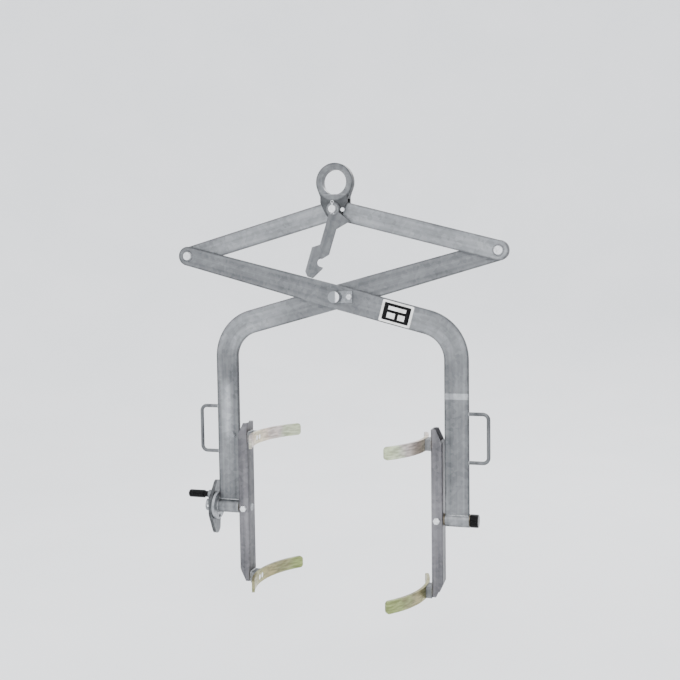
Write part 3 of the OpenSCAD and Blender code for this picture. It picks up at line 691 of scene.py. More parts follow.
jaw_centre = (0.0, 0.0, jaw_axis.z)
flange_finish = flange_painted_glint("flange_painted_glint")
bright_top = turned_zinc("bright_top", top_pivot, 1)
bright_left = turned_zinc("bright_left", left_pivot, 1)
bright_right = turned_zinc("bright_right", right_pivot, 1)
bright_centre = turned_zinc("bright_centre", centre_pivot, 1)
dull_top = turned_zinc("dull_top", top_pivot, 1, (0.24, 0.245, 0.25))
dull_centre = turned_zinc("dull_centre", centre_pivot, 1, DULL_PLATING)
bright_axis = turned_zinc("bright_axis", jaw_centre, 0)
dull_axis = turned_zinc("dull_axis", jaw_centre, 0, (0.27, 0.28, 0.29))
print("turned finishes ready")

# %% [markdown]
# ### Claw plating
#
# The claws carry a yellow passivated plating, a film so thin that its colour shifts with
# its thickness: straw near the jaw bar, then pink, then pale green at the tips. So a ramp
# of five colours follows the distance from the bar, and noise lets the bands drift. A
# thin film in the shader would shift with the view, and here the colours stay put. The
# lower claws are greener and darker than the upper ones.

# %% Passivated zinc for the claws
LOWER_CLAW = (0.50, 0.53, 0.32)
CLAW_BAND = 5.0
CLAW_DRIFT = 0.9


def passivated_claw():
    """Yellow passivated zinc: pale green at the tips, then pink, then straw near the jaw bar."""
    finish = Finish("passivated_claw", 0.9, 0.32)
    parts = finish.node("ShaderNodeSeparateXYZ", Vector=finish.place)
    drift = finish.math("SUBTRACT", finish.noise(finish.place, 16, 3.0), 0.5)
    from_bar = finish.math("ABSOLUTE", parts.outputs["Y"])
    to_tip = finish.math(
        "ADD", finish.math("MULTIPLY", from_bar, CLAW_BAND), finish.math("MULTIPLY", drift, CLAW_DRIFT))
    colour = finish.ramp(
        to_tip, (0.05, (0.68, 0.60, 0.44)), (0.35, (0.66, 0.55, 0.46)), (0.60, (0.56, 0.50, 0.47)),
        (0.80, (0.58, 0.62, 0.45)), (1.0, (0.58, 0.64, 0.42)))
    scuffs = finish.noise(finish.stretched((0, 0, 0), (30, 30, 160)), 1.0, 4.0)
    colour = finish.darken(colour, finish.spread(scuffs, 0.3, 0.7, 0.55, 1.0))
    upper = finish.spread(parts.outputs["Z"], jaw_axis.z - 0.01, jaw_axis.z + 0.01, 0.0, 1.0)
    film = finish.ramp(upper, (0.0, LOWER_CLAW), (1.0, (1.0, 1.0, 1.0)))
    finish.into("Base Color", finish.tint(colour, film))
    finish.into("Roughness", finish.spread(scuffs, 0.3, 0.7, 0.45, 0.28))
    finish.bump(finish.noise(finish.place, 700, 2.0), GRAIN_RELIEF, 0.5)
    return finish.material


claw_finish = passivated_claw()
print("claw plating ready")

# %% [markdown]
# ### Bronze and black plastic
#
# The bushes are cast bronze, mottled brown where oil has stained it and darkened with
# painted shade. The cap and the grip are moulded black plastic with a fine grain and a few
# pale scuffs, which are noise stretched into short strokes.


# %% Bronze and black plastic
def cast_bronze():
    """Bearing bronze, mottled brown where oil has stained it, and darkened with painted shade."""
    finish = Finish("cast_bronze", 1.0, 0.35)
    stain = finish.noise(finish.place, 90, 4.0)
    finish.into("Base Color", finish.ramp(stain, (0.35, (0.09, 0.078, 0.06)), (0.65, (0.22, 0.19, 0.145))))
    finish.into("Roughness", finish.spread(stain, 0.3, 0.7, 0.5, 0.3))
    finish.bump(finish.noise(finish.place, 1200, 2.0), 0.03 * MM, 0.5)
    return finish.material


def black_plastic():
    """Moulded black plastic with a fine grain and pale scuffs."""
    finish = Finish("black_plastic", 0.0, 0.25)
    finish.shader.inputs["Specular IOR Level"].default_value = 0.1
    scuffs = finish.noise(finish.stretched((0.3, 0.2, 0.1), (60, 220, 220)), 1.0, 5.0)
    black, scuffed = (0.002, 0.002, 0.0022), (0.025, 0.025, 0.028)
    finish.into("Base Color", finish.ramp(scuffs, (0.60, black), (0.88, scuffed)))
    finish.into("Roughness", finish.spread(scuffs, 0.5, 0.8, 0.2, 0.5))
    finish.bump(finish.noise(finish.place, 1800, 2.0), GRAIN_RELIEF, 0.6)
    return finish.material


bronze_finish = cast_bronze()
black_finish = black_plastic()
print("materials so far:", len(bpy.data.materials))

# %% [markdown]
# ## Rounded edges
#
# Sawn and dipped plates have no knife edges: their corners are round and catch a thin
# line of light. A copy of each plate is merged from loose triangles, its flat triangles
# are dissolved into whole faces, and its sharp edges are bevelled. Weighted normals keep
# the flats flat. A bevel modifier on the frame's own mesh would not see its edges, as
# those triangles don't share corners.

# %% Ease an edge
SHARP = math.radians(32)
WELD_DISTANCE = 0.01 * MM
FLAT_WITHIN = math.radians(0.5)
EDGE_SEGMENTS = 2


def stand_for(piece, node):
    """The piece joins a node's body, and the node is hidden."""
    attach(piece, frame["nodes"][node]["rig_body"])
    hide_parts(node)


def ease(node, width, material):
    """Puts a copy with whole faces and round edges in a node's place."""
    bm = bmesh.new()
    bm.from_mesh(frame["nodes"][node].data)
    bmesh.ops.remove_doubles(bm, verts=bm.verts, dist=WELD_DISTANCE)
    bmesh.ops.dissolve_limit(bm, angle_limit=FLAT_WITHIN, verts=bm.verts, edges=bm.edges)
    sharp = [edge for edge in bm.edges if edge.is_manifold and edge.calc_face_angle() > SHARP]
    bmesh.ops.bevel(
        bm, geom=sharp, offset=width, offset_type="OFFSET", affect="EDGES", segments=EDGE_SEGMENTS,
        profile=0.5, material=-1, clamp_overlap=True)
    loose = sum(not edge.is_manifold for edge in bm.edges)
    piece = object_from(node + "_eased", bm, material, 60)
    piece.modifiers.new("flat_faces", "WEIGHTED_NORMAL").keep_sharp = True
    print(f"{node}: {len(piece.data.polygons)} faces, {loose} open edges")
    stand_for(piece, node)


print("edges sharper than", round(math.degrees(SHARP)), "degrees are eased")

# %% [markdown]
# ### How round each piece is
#
# Thick plates take the widest edges, thin rods the narrowest, and the flange of the centre
# pin is domed by wear. Each node is listed with the width of its edges in millimetres and
# with its finish.

# %% Ease the edges of the plates
PLATES = {
    "lifting_eye": (1.5, zinc_eye),
    "eye_cheeks": (1.2, zinc_eye),
    "latch": (1.0, zinc_latch),
    "left_link": (1.5, zinc_left_link),
    "right_link": (1.5, zinc_right_link),
    "right_arm_plate": (1.5, zinc_right_arm),
    "left_arm_plate": (1.5, zinc_left_arm),
    "right_bearing_tube": (1.0, zinc_upright),
    "left_bearing_tube": (1.0, zinc_upright),
    "right_handle": (0.3, zinc_handle),
    "left_handle": (0.3, zinc_handle),
    "index_flange": (1.0, zinc_hub_painted_highlight),
    "right_jaw_bar": (0.8, zinc_jaw),
    "left_jaw_bar": (0.8, zinc_jaw),
    "right_claw_blocks": (0.8, zinc_upright),
    "left_claw_blocks": (0.8, zinc_upright),
    "right_upper_claw": (1.5, claw_finish),
    "right_lower_claw": (1.5, claw_finish),
    "left_upper_claw": (1.5, claw_finish),
    "left_lower_claw": (1.5, claw_finish),
    "crank_plate": (1.5, zinc_crank),
    "crank_hub": (1.0, zinc_hub_painted_highlight),
    "bolt_guard": (0.8, zinc_upright),
    "keeper_plate": (0.8, dull_centre),
    "top_pin": (0.6, bright_top),
    "left_pin": (0.6, bright_left),
    "right_pin": (0.6, bright_right),
    "centre_pin": (2.2, flange_finish),
    "right_end_cap": (1.0, black_finish),
}
for node, (width, material) in PLATES.items():
    ease(node, width * MM, material)

# %% [markdown]
# ## Small pieces that keep their CAD mesh
#
# Washers, bushes and shafts are right as they come. They only need a finish in their
# material slot.

# %% Finish the plain nodes
KEPT = {
    "top_pin_washers": dull_top,
    "latch_stop_screw": bright_top,
    "left_pin_washers": bright_left,
    "right_pin_washers": bright_right,
    "centre_pin_washers": bright_centre,
    "right_jaw_shaft": dull_axis,
    "left_jaw_shaft": dull_axis,
    "right_collar": bright_axis,
    "hub_pin": bright_axis,
    "index_bolt": bright_axis,
    "right_claw_screws": bright_axis,
    "left_claw_screws": bright_axis,
    "right_bushes": bronze_finish,
    "left_bushes": bronze_finish,
    "right_thrust_washer": bronze_finish,
    "left_thrust_washers": bronze_finish,
    "index_grip": black_finish,
}
for node, material in KEPT.items():
    for place in frame["nodes"][node].material_slots:
        place.material = material
print("plain nodes finished:", len(KEPT))

# %% [markdown]
# ## Drawing a bar along a path
#
# Weld beads and split pins are both a section drawn along a path. The section is a circle
# that is extruded edge by edge from one point of the path to the next, and each new ring is
# moved by the change of frame between the two. A ring scaled up and down as it goes
# leaves the ripples of a bead. A curve object could do it as well, but it can't vary its
# two widths so freely.


# %% Sweep a ring along a path
def ring_frames(path, flat, widths, closed):
    """A frame for each point: X across the path, Y along the flat side, Z along the path."""
    count = len(path)
    frames = []
    for index, point in enumerate(path):
        before = path[(index - 1) % count] if closed else path[max(index - 1, 0)]
        after = path[(index + 1) % count] if closed else path[min(index + 1, count - 1)]
        along = (after - before).normalized()
        across = flat.cross(along).normalized()
        turn = Matrix((across, along.cross(across), along)).transposed().to_4x4()
        wide, thick = widths[index]
        frames.append(Matrix.Translation(point) @ turn @ Matrix.Diagonal((wide, thick, 1, 1)))
    return frames


def sweep(bm, path, flat, widths, sides=10, closed=False):
    """Extrudes a ring along a path; widths are the half sizes (across, along the flat side)."""
    frames = ring_frames(path, flat, widths, closed)
    ring = bmesh.ops.create_circle(bm, segments=sides, radius=1, matrix=frames[0])["verts"]
    first = list({edge for vert in ring for edge in vert.link_edges})
    edges = first
    for now, then in zip(frames, frames[1:]):
        made = bmesh.ops.extrude_edge_only(bm, edges=edges)["geom"]
        ring = {part for part in made if isinstance(part, bmesh.types.BMVert)}
        edges = [part for part in made if isinstance(part, bmesh.types.BMEdge) and set(part.verts) <= ring]
        bmesh.ops.transform(bm, matrix=then @ now.inverted(), verts=list(ring))
    if closed:
        bmesh.ops.bridge_loops(bm, edges=first + edges)
    else:
        bmesh.ops.contextual_create(bm, geom=first)
        bmesh.ops.contextual_create(bm, geom=edges)


def finish_mesh(name, bm, material, body, smooth_under=180):
    """Turns a new piece's faces outwards and hands it to a body."""
    bmesh.ops.recalc_face_normals(bm, faces=bm.faces)
    piece = object_from(name, bm, material, smooth_under)
    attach(piece, body)


print("sweep ready")

# %% [markdown]
# ## Weld beads
#
# The welding came before the zinc bath, so the beads have a zinc finish too. Weld metal is
# smoother than rolled plate and takes the zinc well, so it is a little brighter, with soft
# clouds and no streaks. The plates' coat would do from afar, but close up its crystals are
# larger than a bead.


# %% Zinc on weld metal
def weld_finish():
    """Zinc on weld metal: smoother and paler than the plate, with soft clouds."""
    finish = Finish("weld_zinc", 0.9, 0.36)
    clouds = finish.noise(finish.place, 160, 4.0)
    finish.into("Base Color", finish.ramp(clouds, (0.3, (0.19, 0.195, 0.20)), (0.7, (0.40, 0.41, 0.42))))
    finish.into("Roughness", finish.spread(clouds, 0.3, 0.7, 0.46, 0.30))
    finish.bump(finish.noise(finish.place, 1100, 2.0), GRAIN_RELIEF, 0.6)
    return finish.material


weld = weld_finish()
print("weld finish ready")

# %% [markdown]
# ### Straight and round beads
#
# A fillet weld is a row of overlapping drops, about three millimetres apart, each a little
# fuller in its middle. So the rings of a bead are full and lean in turn. A smooth bar with
# a relief in its material would look the same from the front, but not along its outline.
# Straight beads end in two smaller rings, and round ones run full circle about the part
# that they hold.

# %% Lay a bead
RIPPLE = 1.6 * MM
RIPPLE_DEPTH = 0.10


def ripples(count, size, tapered):
    """Ring sizes along a bead, full and lean in turn, with small ends if it has ends."""
    widths = []
    for index in range(count):
        drop = 1 + RIPPLE_DEPTH * math.cos(math.pi * index)
        end = min(index, count - 1 - index)
        taper = min(1.0, 0.45 + 0.3 * end) if tapered else 1.0
        widths.append((size * drop * taper, size * drop * taper))
    return widths


def straight_bead(bm, start, end, flat, size):
    """A bead from one point to another."""
    start, end = Vector(start), Vector(end)
    count = max(6, round((end - start).length / RIPPLE))
    path = [start.lerp(end, index / (count - 1)) for index in range(count)]
    sweep(bm, path, Vector(flat), ripples(count, size, True))


def round_bead(bm, centre, radius, size):
    """A bead full circle about an axis along X."""
    count = 2 * max(10, round(math.pi * radius / RIPPLE))
    axis = Vector((1, 0, 0))
    top = Vector((0, 0, radius))
    path = []
    for index in range(count):
        path.append(Vector(centre) + Matrix.Rotation(math.tau * index / count, 3, axis) @ top)
    sweep(bm, path, axis, ripples(count, size, False), closed=True)


print("a bead has a ring every", round(RIPPLE / MM, 1), "mm")

# %% [markdown]
# ### Welds on the eye and the legs
#
# The cheeks are welded to the ring plate along their upper edge, front and rear. Each leg
# stands astride its bearing tube, with a bead along the tube in front and behind. The
# index flange is welded to the left leg and round the tube. Its front bead stops under the
# hole that the index bolt enters, so that the bolt has room.

# %% Beads on the eye and the legs
CHEEK_BEAD = 2.6 * MM
CHEEK_INSET = 5 * MM
LEG_BEAD = 3.2 * MM
LEG_INSET = 3 * MM
FLANGE_BEAD = 2.6 * MM
FLANGE_INSET = 4 * MM
BOLT_ROOM = 2 * MM


def cheek_beads():
    """Along the upper edges of both cheeks."""
    bm = bmesh.new()
    edge = high("eye_cheeks")
    reach = edge.x - CHEEK_INSET
    for face in (low("lifting_eye").y, high("lifting_eye").y):
        straight_bead(bm, (-reach, face, edge.z), (reach, face, edge.z), (0, 1, 0), CHEEK_BEAD)
    finish_mesh("cheek_welds", bm, weld, "hanger")


def leg_beads(side, body):
    """Along the bearing tube on both faces of the leg, and round the left leg's index flange."""
    bm = bmesh.new()
    for face in (plate_front, plate_back):
        up = math.sqrt(tube_r ** 2 - face ** 2)
        start = Vector((side * (leg_in + LEG_INSET), side * face, jaw_axis.z + up))
        end = Vector((side * (leg_out - LEG_INSET), side * face, jaw_axis.z + up))
        straight_bead(bm, start, end, (0, 1, 0), LEG_BEAD)
    if side < 0:
        flange_top = high("index_flange").z - FLANGE_INSET
        under_hole = low("index_bolt").z - BOLT_ROOM
        for face, top in ((plate_front, flange_top), (plate_back, under_hole)):
            start = Vector((-leg_out, -face, jaw_axis.z + tube_r))
            straight_bead(bm, start, (start.x, start.y, top), (0, 1, 0), FLANGE_BEAD)
        round_bead(bm, (-leg_out, 0, jaw_axis.z), tube_r, FLANGE_BEAD)
    finish_mesh(body + "_leg_welds", bm, weld, body)


cheek_beads()
leg_beads(1, "right_arm")
leg_beads(-1, "left_arm")
print("upper beads laid")

# %% [markdown]
# ### Welds on the handles and the jaws
#
# The handles are butted on the leg's edge, with a bead round each end of the rod. Each
# claw block is welded to the jaw bar along its four edges, and the hub and the bolt guard
# stand on the crank plate in round beads.

# %% Beads on the handles and the jaws
ROD_BEAD = 2.0 * MM
BLOCK_BEAD = 2.6 * MM
BLOCK_INSET = 1 * MM
HUB_BEAD = 2.4 * MM
GUARD_BEAD = HUB_BEAD * 0.8
CLAW_PAST_BLOCK = 4 * MM
BLOCK_H = high("right_upper_claw").z - low("right_upper_claw").z - CLAW_PAST_BLOCK


def handle_beads(side, node, body):
    """Round both ends of a handle's rod."""
    bm = bmesh.new()
    rod_r = (high(node).y - low(node).y) / 2
    for z in (high(node).z - rod_r, low(node).z + rod_r):
        round_bead(bm, (side * leg_out, middle(node).y, z), rod_r, ROD_BEAD)
    finish_mesh(body + "_handle_welds", bm, weld, body)


def block_beads(side, node, bar, body):
    """Round the four edges of each claw block, on the face of the jaw bar."""
    bm = bmesh.new()
    face = side * min(abs(low(bar).x), abs(high(bar).x))
    wide = high(node).y - BLOCK_INSET
    for top in (high(node).z, low(node).z + BLOCK_H):
        bottom = max(top - BLOCK_H, low(bar).z)
        for z in (top, bottom):
            straight_bead(bm, (face, -wide, z), (face, wide, z), (0, 0, 1), BLOCK_BEAD)
        for y in (-wide, wide):
            straight_bead(bm, (face, y, bottom), (face, y, top), (0, 1, 0), BLOCK_BEAD)
    finish_mesh(body + "_block_welds", bm, weld, body)


def crank_beads():
    """Round the hub and the bolt guard, on the outer face of the crank plate."""
    bm = bmesh.new()
    face = low("crank_plate").x
    hub = middle("crank_hub")
    guard = middle("bolt_guard")
    round_bead(bm, (face, hub.y, hub.z), high("crank_hub").z - hub.z, HUB_BEAD)
    round_bead(bm, (face, guard.y, guard.z), high("bolt_guard").z - guard.z, GUARD_BEAD)
    finish_mesh("crank_welds", bm, weld, "left_jaw")


handle_beads(1, "right_handle", "right_arm")
handle_beads(-1, "left_handle", "left_arm")
block_beads(1, "right_claw_blocks", "right_jaw_bar", "right_jaw")
block_beads(-1, "left_claw_blocks", "left_jaw_bar", "left_jaw")
crank_beads()
print("lower beads laid; block height", round(BLOCK_H, 4))

# %% [markdown]
# ## Split pins
#
# A split pin is a half round wire folded into a loop, so that two legs fill one hole, and
# their tails are bent apart behind it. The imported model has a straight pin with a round
# eye there, and the bent one takes its place. Its path runs up one leg, round the loop and
# down the other, and the section is about twice as deep as it is wide.

# %% Bend the split pins
STRAND = 0.94 * MM
STRAND_DEEP = 1.8 * MM
LOOP_R = 4.2 * MM
TAIL_BEND_R = 3.0 * MM
TAIL_L = 5.0 * MM
TAIL_ROOM = 9 * MM
TAIL_BEND = math.radians(65)
TAIL_STEPS = 6
LOOP_STEPS = 24
LOOP_LEAD = 2 * MM


def split_pin(node, material):
    """A split pin drawn in the X-Z plane through a node's middle."""
    top = high(node).z - LOOP_R - STRAND
    bottom = low(node).z + TAIL_ROOM
    centre = middle(node)
    gap = math.asin(STRAND / LOOP_R)
    path = []
    for step in range(TAIL_STEPS + 1):
        turn = TAIL_BEND * (1 - step / TAIL_STEPS)
        path.append((-STRAND - TAIL_BEND_R * (1 - math.cos(turn)), bottom - TAIL_BEND_R * math.sin(turn)))
    tail = Vector((-math.sin(TAIL_BEND), -math.cos(TAIL_BEND))) * TAIL_L
    path.insert(0, (path[0][0] + tail.x, path[0][1] + tail.y))
    path.append((-STRAND, top - LOOP_R - LOOP_LEAD))
    loop = []
    for step in range(LOOP_STEPS + 1):
        turn = math.radians(270) - gap - (math.tau - 2 * gap) * step / LOOP_STEPS
        loop.append((LOOP_R * math.cos(turn), top + LOOP_R * math.sin(turn)))
    mirrored = [(-x, z) for x, z in reversed(path)]
    points = [Vector((centre.x + x, centre.y, z)) for x, z in path + loop + mirrored]
    bm = bmesh.new()
    sweep(bm, points, Vector((0, 1, 0)), [(STRAND, STRAND_DEEP)] * len(points), sides=12)
    bmesh.ops.recalc_face_normals(bm, faces=bm.faces)
    stand_for(object_from(node + "_bent", bm, material), node)


split_pin("top_split_pin", bright_top)
split_pin("left_split_pin", bright_left)
split_pin("right_split_pin", bright_right)
split_pin("centre_split_pin", bright_centre)
print("split pins bent")

# %% [markdown]
# ## Hexagon heads
#
# A hexagon head is turned after it is forged, which leaves a cone on its corners. So a
# six-sided ring is subdivided and extruded to the head's height, and each vertex of its rim
# is lowered the more, the further it stands outside the round face. A plain bevel would
# cut a hexagon's straight edges and miss the arcs that a real head shows.

# %% Make a hexagon head
CHAMFER = math.tan(math.radians(30))
ROUND_FACE = 0.97
CUTS_PER_SIDE = 7


def ring_edges(verts):
    """The edges that join the vertices of a ring."""
    ring = set(verts)
    return [edge for edge in {edge for vert in verts for edge in vert.link_edges} if set(edge.verts) <= ring]


def raise_ring(bm, edges, height):
    """Extrudes a ring straight up and gives back its new vertices and edges."""
    made = bmesh.ops.extrude_edge_only(bm, edges=edges)["geom"]
    ring = [part for part in made if isinstance(part, bmesh.types.BMVert)]
    bmesh.ops.translate(bm, vec=(0, 0, height), verts=ring)
    return ring, ring_edges(ring)


def hexagon(corner_r, height):
    """A hexagon head along +Z with the round chamfer on its outer face."""
    face_r = corner_r * math.cos(math.radians(30)) * ROUND_FACE
    part = bmesh.new()
    corner_on_x = Matrix.Rotation(math.radians(30), 4, "Z")
    circle = bmesh.ops.create_circle(part, segments=6, radius=corner_r, matrix=corner_on_x)["verts"]
    bmesh.ops.subdivide_edges(part, edges=ring_edges(circle), cuts=CUTS_PER_SIDE)
    edges = part.edges[:]
    bmesh.ops.contextual_create(part, geom=edges)
    rim, rim_edges = raise_ring(part, edges, height)
    for vert in rim:
        vert.co.z -= max(0.0, vert.co.xy.length - face_r) * CHAMFER
    top, top_edges = raise_ring(part, rim_edges, 0)
    for vert in top:
        vert.co.xy = vert.co.xy.normalized() * face_r
        vert.co.z = height
    bmesh.ops.contextual_create(part, geom=top_edges)
    return part


print("a head's rim has", 6 * (CUTS_PER_SIDE + 1), "vertices")

# %% [markdown]
# ### Threads
#
# A thread is one wedge spun about the bolt's axis, while it climbs by a pitch each turn.
# Plain rings one above another would be simpler, but they don't climb, and that shows. The
# wedge stands on a plain core with a chamfered tip. It starts and stops inside the core's
# length, and both of its ends are closed.

# %% Cut a thread
THREAD_STEPS = 28
THREAD_DEPTH = 0.6
THREAD_ROOM = 1.5
WEDGE_FOOT = 0.1
WEDGE_SIDE = 0.06
TIP_CHAMFER = 0.5
NEAR_TIP = 0.99
BAR_SIDES = 48


def round_bar(radius, length):
    """A plain cylinder along +Z."""
    part = bmesh.new()
    bmesh.ops.create_cone(
        part, cap_ends=True, segments=BAR_SIDES, radius1=radius, radius2=radius, depth=length,
        matrix=Matrix.Translation((0, 0, length / 2)))
    return part


def threaded_end(radius, pitch, length):
    """A bolt's end along +Z: a core with a chamfered tip, and a thread that climbs round it."""
    root = radius - THREAD_DEPTH * pitch
    foot = root - WEDGE_FOOT * pitch
    part = round_bar(root, length)
    tip = [edge for edge in part.edges if all(vert.co.z > length * NEAR_TIP for vert in edge.verts)]
    bmesh.ops.bevel(
        part, geom=tip, offset=TIP_CHAMFER * pitch, offset_type="OFFSET", affect="EDGES", segments=2,
        profile=0.5, material=-1)
    lower = part.verts.new((foot, 0, WEDGE_SIDE * pitch))
    crest = part.verts.new((radius, 0, 0.5 * pitch))
    upper = part.verts.new((foot, 0, (1 - WEDGE_SIDE) * pitch))
    corners = [lower, crest, upper]
    wedge = [part.edges.new(pair) for pair in ((lower, crest), (crest, upper), (upper, lower))]
    turns = max(1.0, length / pitch - THREAD_ROOM)
    spun = bmesh.ops.spin(
        part, geom=corners + wedge, cent=(0, 0, 0), axis=(0, 0, 1), angle=math.tau * turns,
        steps=round(turns * THREAD_STEPS), dvec=(0, 0, pitch / THREAD_STEPS), use_merge=False)["geom_last"]
    bmesh.ops.contextual_create(part, geom=wedge)
    bmesh.ops.contextual_create(part, geom=[piece for piece in spun if isinstance(piece, bmesh.types.BMEdge)])
    return part


print("a thread turns in", THREAD_STEPS, "steps")

# %% [markdown]
# ### Putting a bolt together
#
# Heads, nuts and bars are all made along +Z, each in a bmesh of its own. Then each is
# turned to look out of the clamp's front or rear, moved to its place and joined to the
# bolt. A bmesh can't take another one in directly, so a mesh carries it over.


# %% Join finished parts
def add_part(bm, part, place):
    """Moves a finished part to its place and joins it to a piece."""
    bmesh.ops.transform(part, matrix=place, verts=part.verts)
    carrier = bpy.data.meshes.new("carrier")
    part.to_mesh(carrier)
    part.free()
    bm.from_mesh(carrier)
    bpy.data.meshes.remove(carrier)


def facing_front(point):
    """A place whose Z looks out of the clamp's front."""
    return Matrix.Translation(point) @ Matrix.Rotation(math.radians(90), 4, "X")


def facing_rear(point):
    """A place whose Z looks out of the clamp's rear."""
    return Matrix.Translation(point) @ Matrix.Rotation(math.radians(-90), 4, "X")


print("parts can be joined")

# %% [markdown]
# ### Bolts with a head in front and a nut behind
#
# The cross bolts pin the jaw bars to their shafts, and one more bolt passes the left leg.
# Their sizes come from the nodes that they stand for. The widest part, which is the head's
# corners or the washer, gives the thread, and the usual shares of a bolt give the rest. The
# box's rear end is where the thread stops.

# %% Make the bolts
HEX_SHARE = 1.83
WASHER_SHARE = 2.0
NUT_SHARE = 1.6
HEAD_SHARE = 1.25
WASHER_FILL = 0.96
ARM_WASHER_T = 2.5 * MM
PITCH = 1.75 * MM


def bolt_through(node, material, front, rear, washer_t):
    """A bolt along Y: head before the front face, nut behind the rear face."""
    low_corner, high_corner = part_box(node)
    centre = middle(node)
    half = (high_corner.x - low_corner.x) / 2
    thread_r = half / (WASHER_SHARE if washer_t > 0 else HEX_SHARE)
    corner_r = HEX_SHARE * thread_r
    nut_t = NUT_SHARE * thread_r
    head_place = facing_front((centre.x, front - washer_t, centre.z))
    nut_place = facing_rear((centre.x, rear, centre.z))
    bm = bmesh.new()
    add_part(bm, hexagon(corner_r, HEAD_SHARE * thread_r), head_place)
    add_part(bm, hexagon(corner_r, nut_t), nut_place)
    add_part(bm, threaded_end(thread_r, PITCH, high_corner.y - rear), nut_place)
    shank_l = rear - front + washer_t
    add_part(bm, round_bar(thread_r, shank_l), facing_rear((centre.x, front - washer_t, centre.z)))
    if washer_t > 0:
        washer = round_bar(WASHER_SHARE * thread_r, washer_t * WASHER_FILL)
        add_part(bm, washer, facing_front((centre.x, front, centre.z)))
    bmesh.ops.recalc_face_normals(bm, faces=bm.faces)
    stand_for(object_from(node + "_threaded", bm, material, 35), node)


for node in ("right_cross_bolt", "left_cross_bolt"):
    bar = node.replace("cross_bolt", "jaw_bar")
    bright_bolt = turned_zinc("bright_" + node, middle(node), 1)
    bolt_through(node, bright_bolt, low(bar).y, high(bar).y, 0)
dull_screw = turned_zinc("dull_arm_screw", middle("arm_screw"), 1, DULL_PLATING)
bolt_through("arm_screw", dull_screw, low("left_arm_plate").y, high("left_arm_plate").y, ARM_WASHER_T)
print("bolts made")

# %% [markdown]
# ### The keeper's screw
#
# The keeper plate stops the centre pin from turning, and one screw with a thin head holds
# it. The screw has no nut, because its shank is tapped into the arm. It uses the same head
# and bar as the bolts, and needs no thread where none can be seen.


# %% Make the keeper's screw
def keeper_screw():
    """A thin hexagon head on the keeper plate."""
    centre = middle("keeper_screw")
    low_corner, high_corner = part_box("keeper_screw")
    face = low("keeper_plate").y
    corner_r = (high_corner.x - low_corner.x) / 2
    shank = round_bar(corner_r / HEX_SHARE, high_corner.y - face)
    bm = bmesh.new()
    add_part(bm, hexagon(corner_r, face - low_corner.y), facing_front((centre.x, face, centre.z)))
    add_part(bm, shank, facing_rear((centre.x, face, centre.z)))
    bmesh.ops.recalc_face_normals(bm, faces=bm.faces)
    material = turned_zinc("bright_keeper_screw", centre, 1)
    stand_for(object_from("keeper_screw_chamfered", bm, material, 35), "keeper_screw")
    print("keeper's screw across corners", round(2 * corner_r, 4))


keeper_screw()

# %% [markdown]
# ## The label
#
# A vinyl label sits on the right arm, a hand's length down the slope from the centre
# pivot. It is a blank rating plate: a white ground and a black panel, and no words. The
# ground starts as a grid with one face, its corners are bevelled, and then it is given the
# thickness of the vinyl. It is modelled flat in X and Y and laid on the slanted arm at
# the end.

# %% The white ground
LABEL_ALONG = 0.211
LABEL_L = 0.106
LABEL_H = 0.071
LABEL_CORNER = 4 * MM
VINYL_T = 0.25 * MM
GROUND_OUT = 0.05 * MM


def vinyl(name, colour, worn):
    """Vinyl with a soft gloss and a little soiling."""
    finish = Finish(name, 0.0, 0.38)
    finish.shader.inputs["Specular IOR Level"].default_value = 0.08
    soil = finish.noise(finish.place, 45, 5.0)
    finish.into("Base Color", finish.ramp(soil, (0.35, worn), (0.6, colour)))
    finish.into("Roughness", finish.spread(soil, 0.3, 0.7, 0.5, 0.28))
    finish.bump(finish.noise(finish.place, 260, 2.0), GRAIN_RELIEF, 0.4)
    return finish.material


def sheet_of_vinyl(length, height, corner):
    """A thin panel in the X-Y plane with round corners."""
    bm = bmesh.new()
    bmesh.ops.create_grid(bm, x_segments=1, y_segments=1, size=0.5)
    bmesh.ops.scale(bm, vec=(length, height, 1), verts=bm.verts)
    bmesh.ops.bevel(
        bm, geom=bm.verts[:], offset=corner, offset_type="OFFSET", affect="VERTICES", segments=6, profile=0.5,
        material=-1)
    return bm


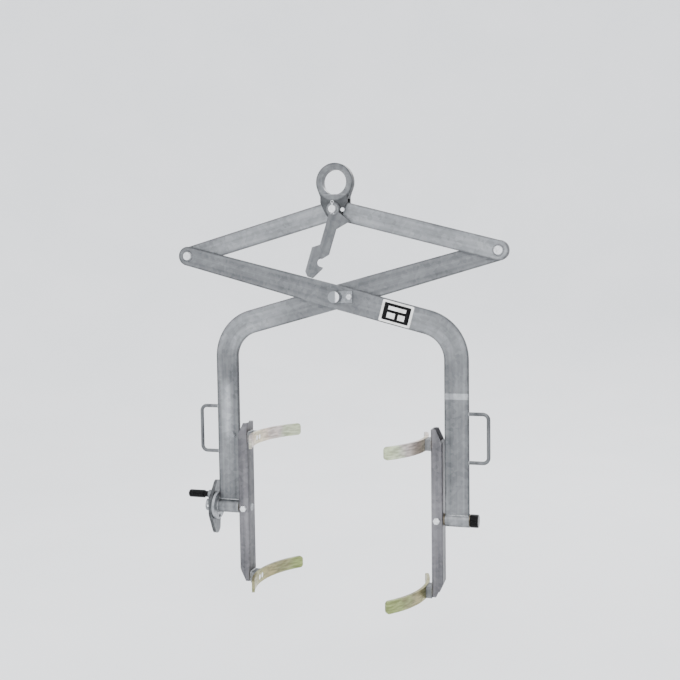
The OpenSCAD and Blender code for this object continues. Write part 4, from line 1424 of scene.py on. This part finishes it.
def stick_on(bm, name, out, material):
    """Thickens a panel and lays it before the right arm's front face."""
    bmesh.ops.solidify(bm, geom=bm.faces[:], thickness=-VINYL_T)
    along = Matrix.Rotation(slope, 4, "Y")
    upright = Matrix.Rotation(math.radians(90), 4, "X")
    spot = Vector((centre_pivot.x, plate_front - out, centre_pivot.z))
    spot += along.to_3x3() @ Vector((LABEL_ALONG, 0, 0))
    bmesh.ops.transform(bm, matrix=Matrix.Translation(spot) @ along @ upright, verts=bm.verts)
    finish_mesh(name, bm, material, "right_arm", 40)


white_vinyl = vinyl("white_vinyl", (0.80, 0.80, 0.79), (0.62, 0.61, 0.58))
ground = sheet_of_vinyl(LABEL_L, LABEL_H, LABEL_CORNER)
stick_on(ground, "label_ground", GROUND_OUT, white_vinyl)
print("white ground", LABEL_L, "by", LABEL_H)

# %% [markdown]
# ### The black panel
#
# The panel has three empty fields, through which the white ground shows. Planes cut it
# where the fields begin and end, and the faces inside them are taken out. That leaves
# clean straight edges, which a pattern in a material would blur close up.

# %% The black panel with its fields
PANEL_L = 0.090
PANEL_H = 0.057
PANEL_CORNER = LABEL_CORNER * 0.6
PANEL_OUT = 0.35 * MM
FIELDS = (
    (0.0, 0.0130, 0.060, 0.012),
    (-0.0165, -0.0110, 0.027, 0.018),
    (0.0185, -0.0110, 0.023, 0.018),
)

panel = sheet_of_vinyl(PANEL_L, PANEL_H, PANEL_CORNER)
cuts = []
for x, y, width, height in FIELDS:
    cuts += [((x + side * width / 2, 0, 0), (1, 0, 0)) for side in (-1, 1)]
    cuts += [((0, y + side * height / 2, 0), (0, 1, 0)) for side in (-1, 1)]
for point, normal in cuts:
    bmesh.ops.bisect_plane(
        panel, geom=panel.verts[:] + panel.edges[:] + panel.faces[:], plane_co=point, plane_no=normal)
holes = []
for face in panel.faces:
    spot = face.calc_center_median()
    if any(abs(spot.x - x) < width / 2 and abs(spot.y - y) < height / 2 for x, y, width, height in FIELDS):
        holes.append(face)
bmesh.ops.delete(panel, geom=holes, context="FACES")
black_vinyl = vinyl("black_vinyl", (0.002, 0.002, 0.0022), (0.006, 0.006, 0.006))
stick_on(panel, "label_panel", PANEL_OUT, black_vinyl)
print("panel stuck on with", len(FIELDS), "fields")
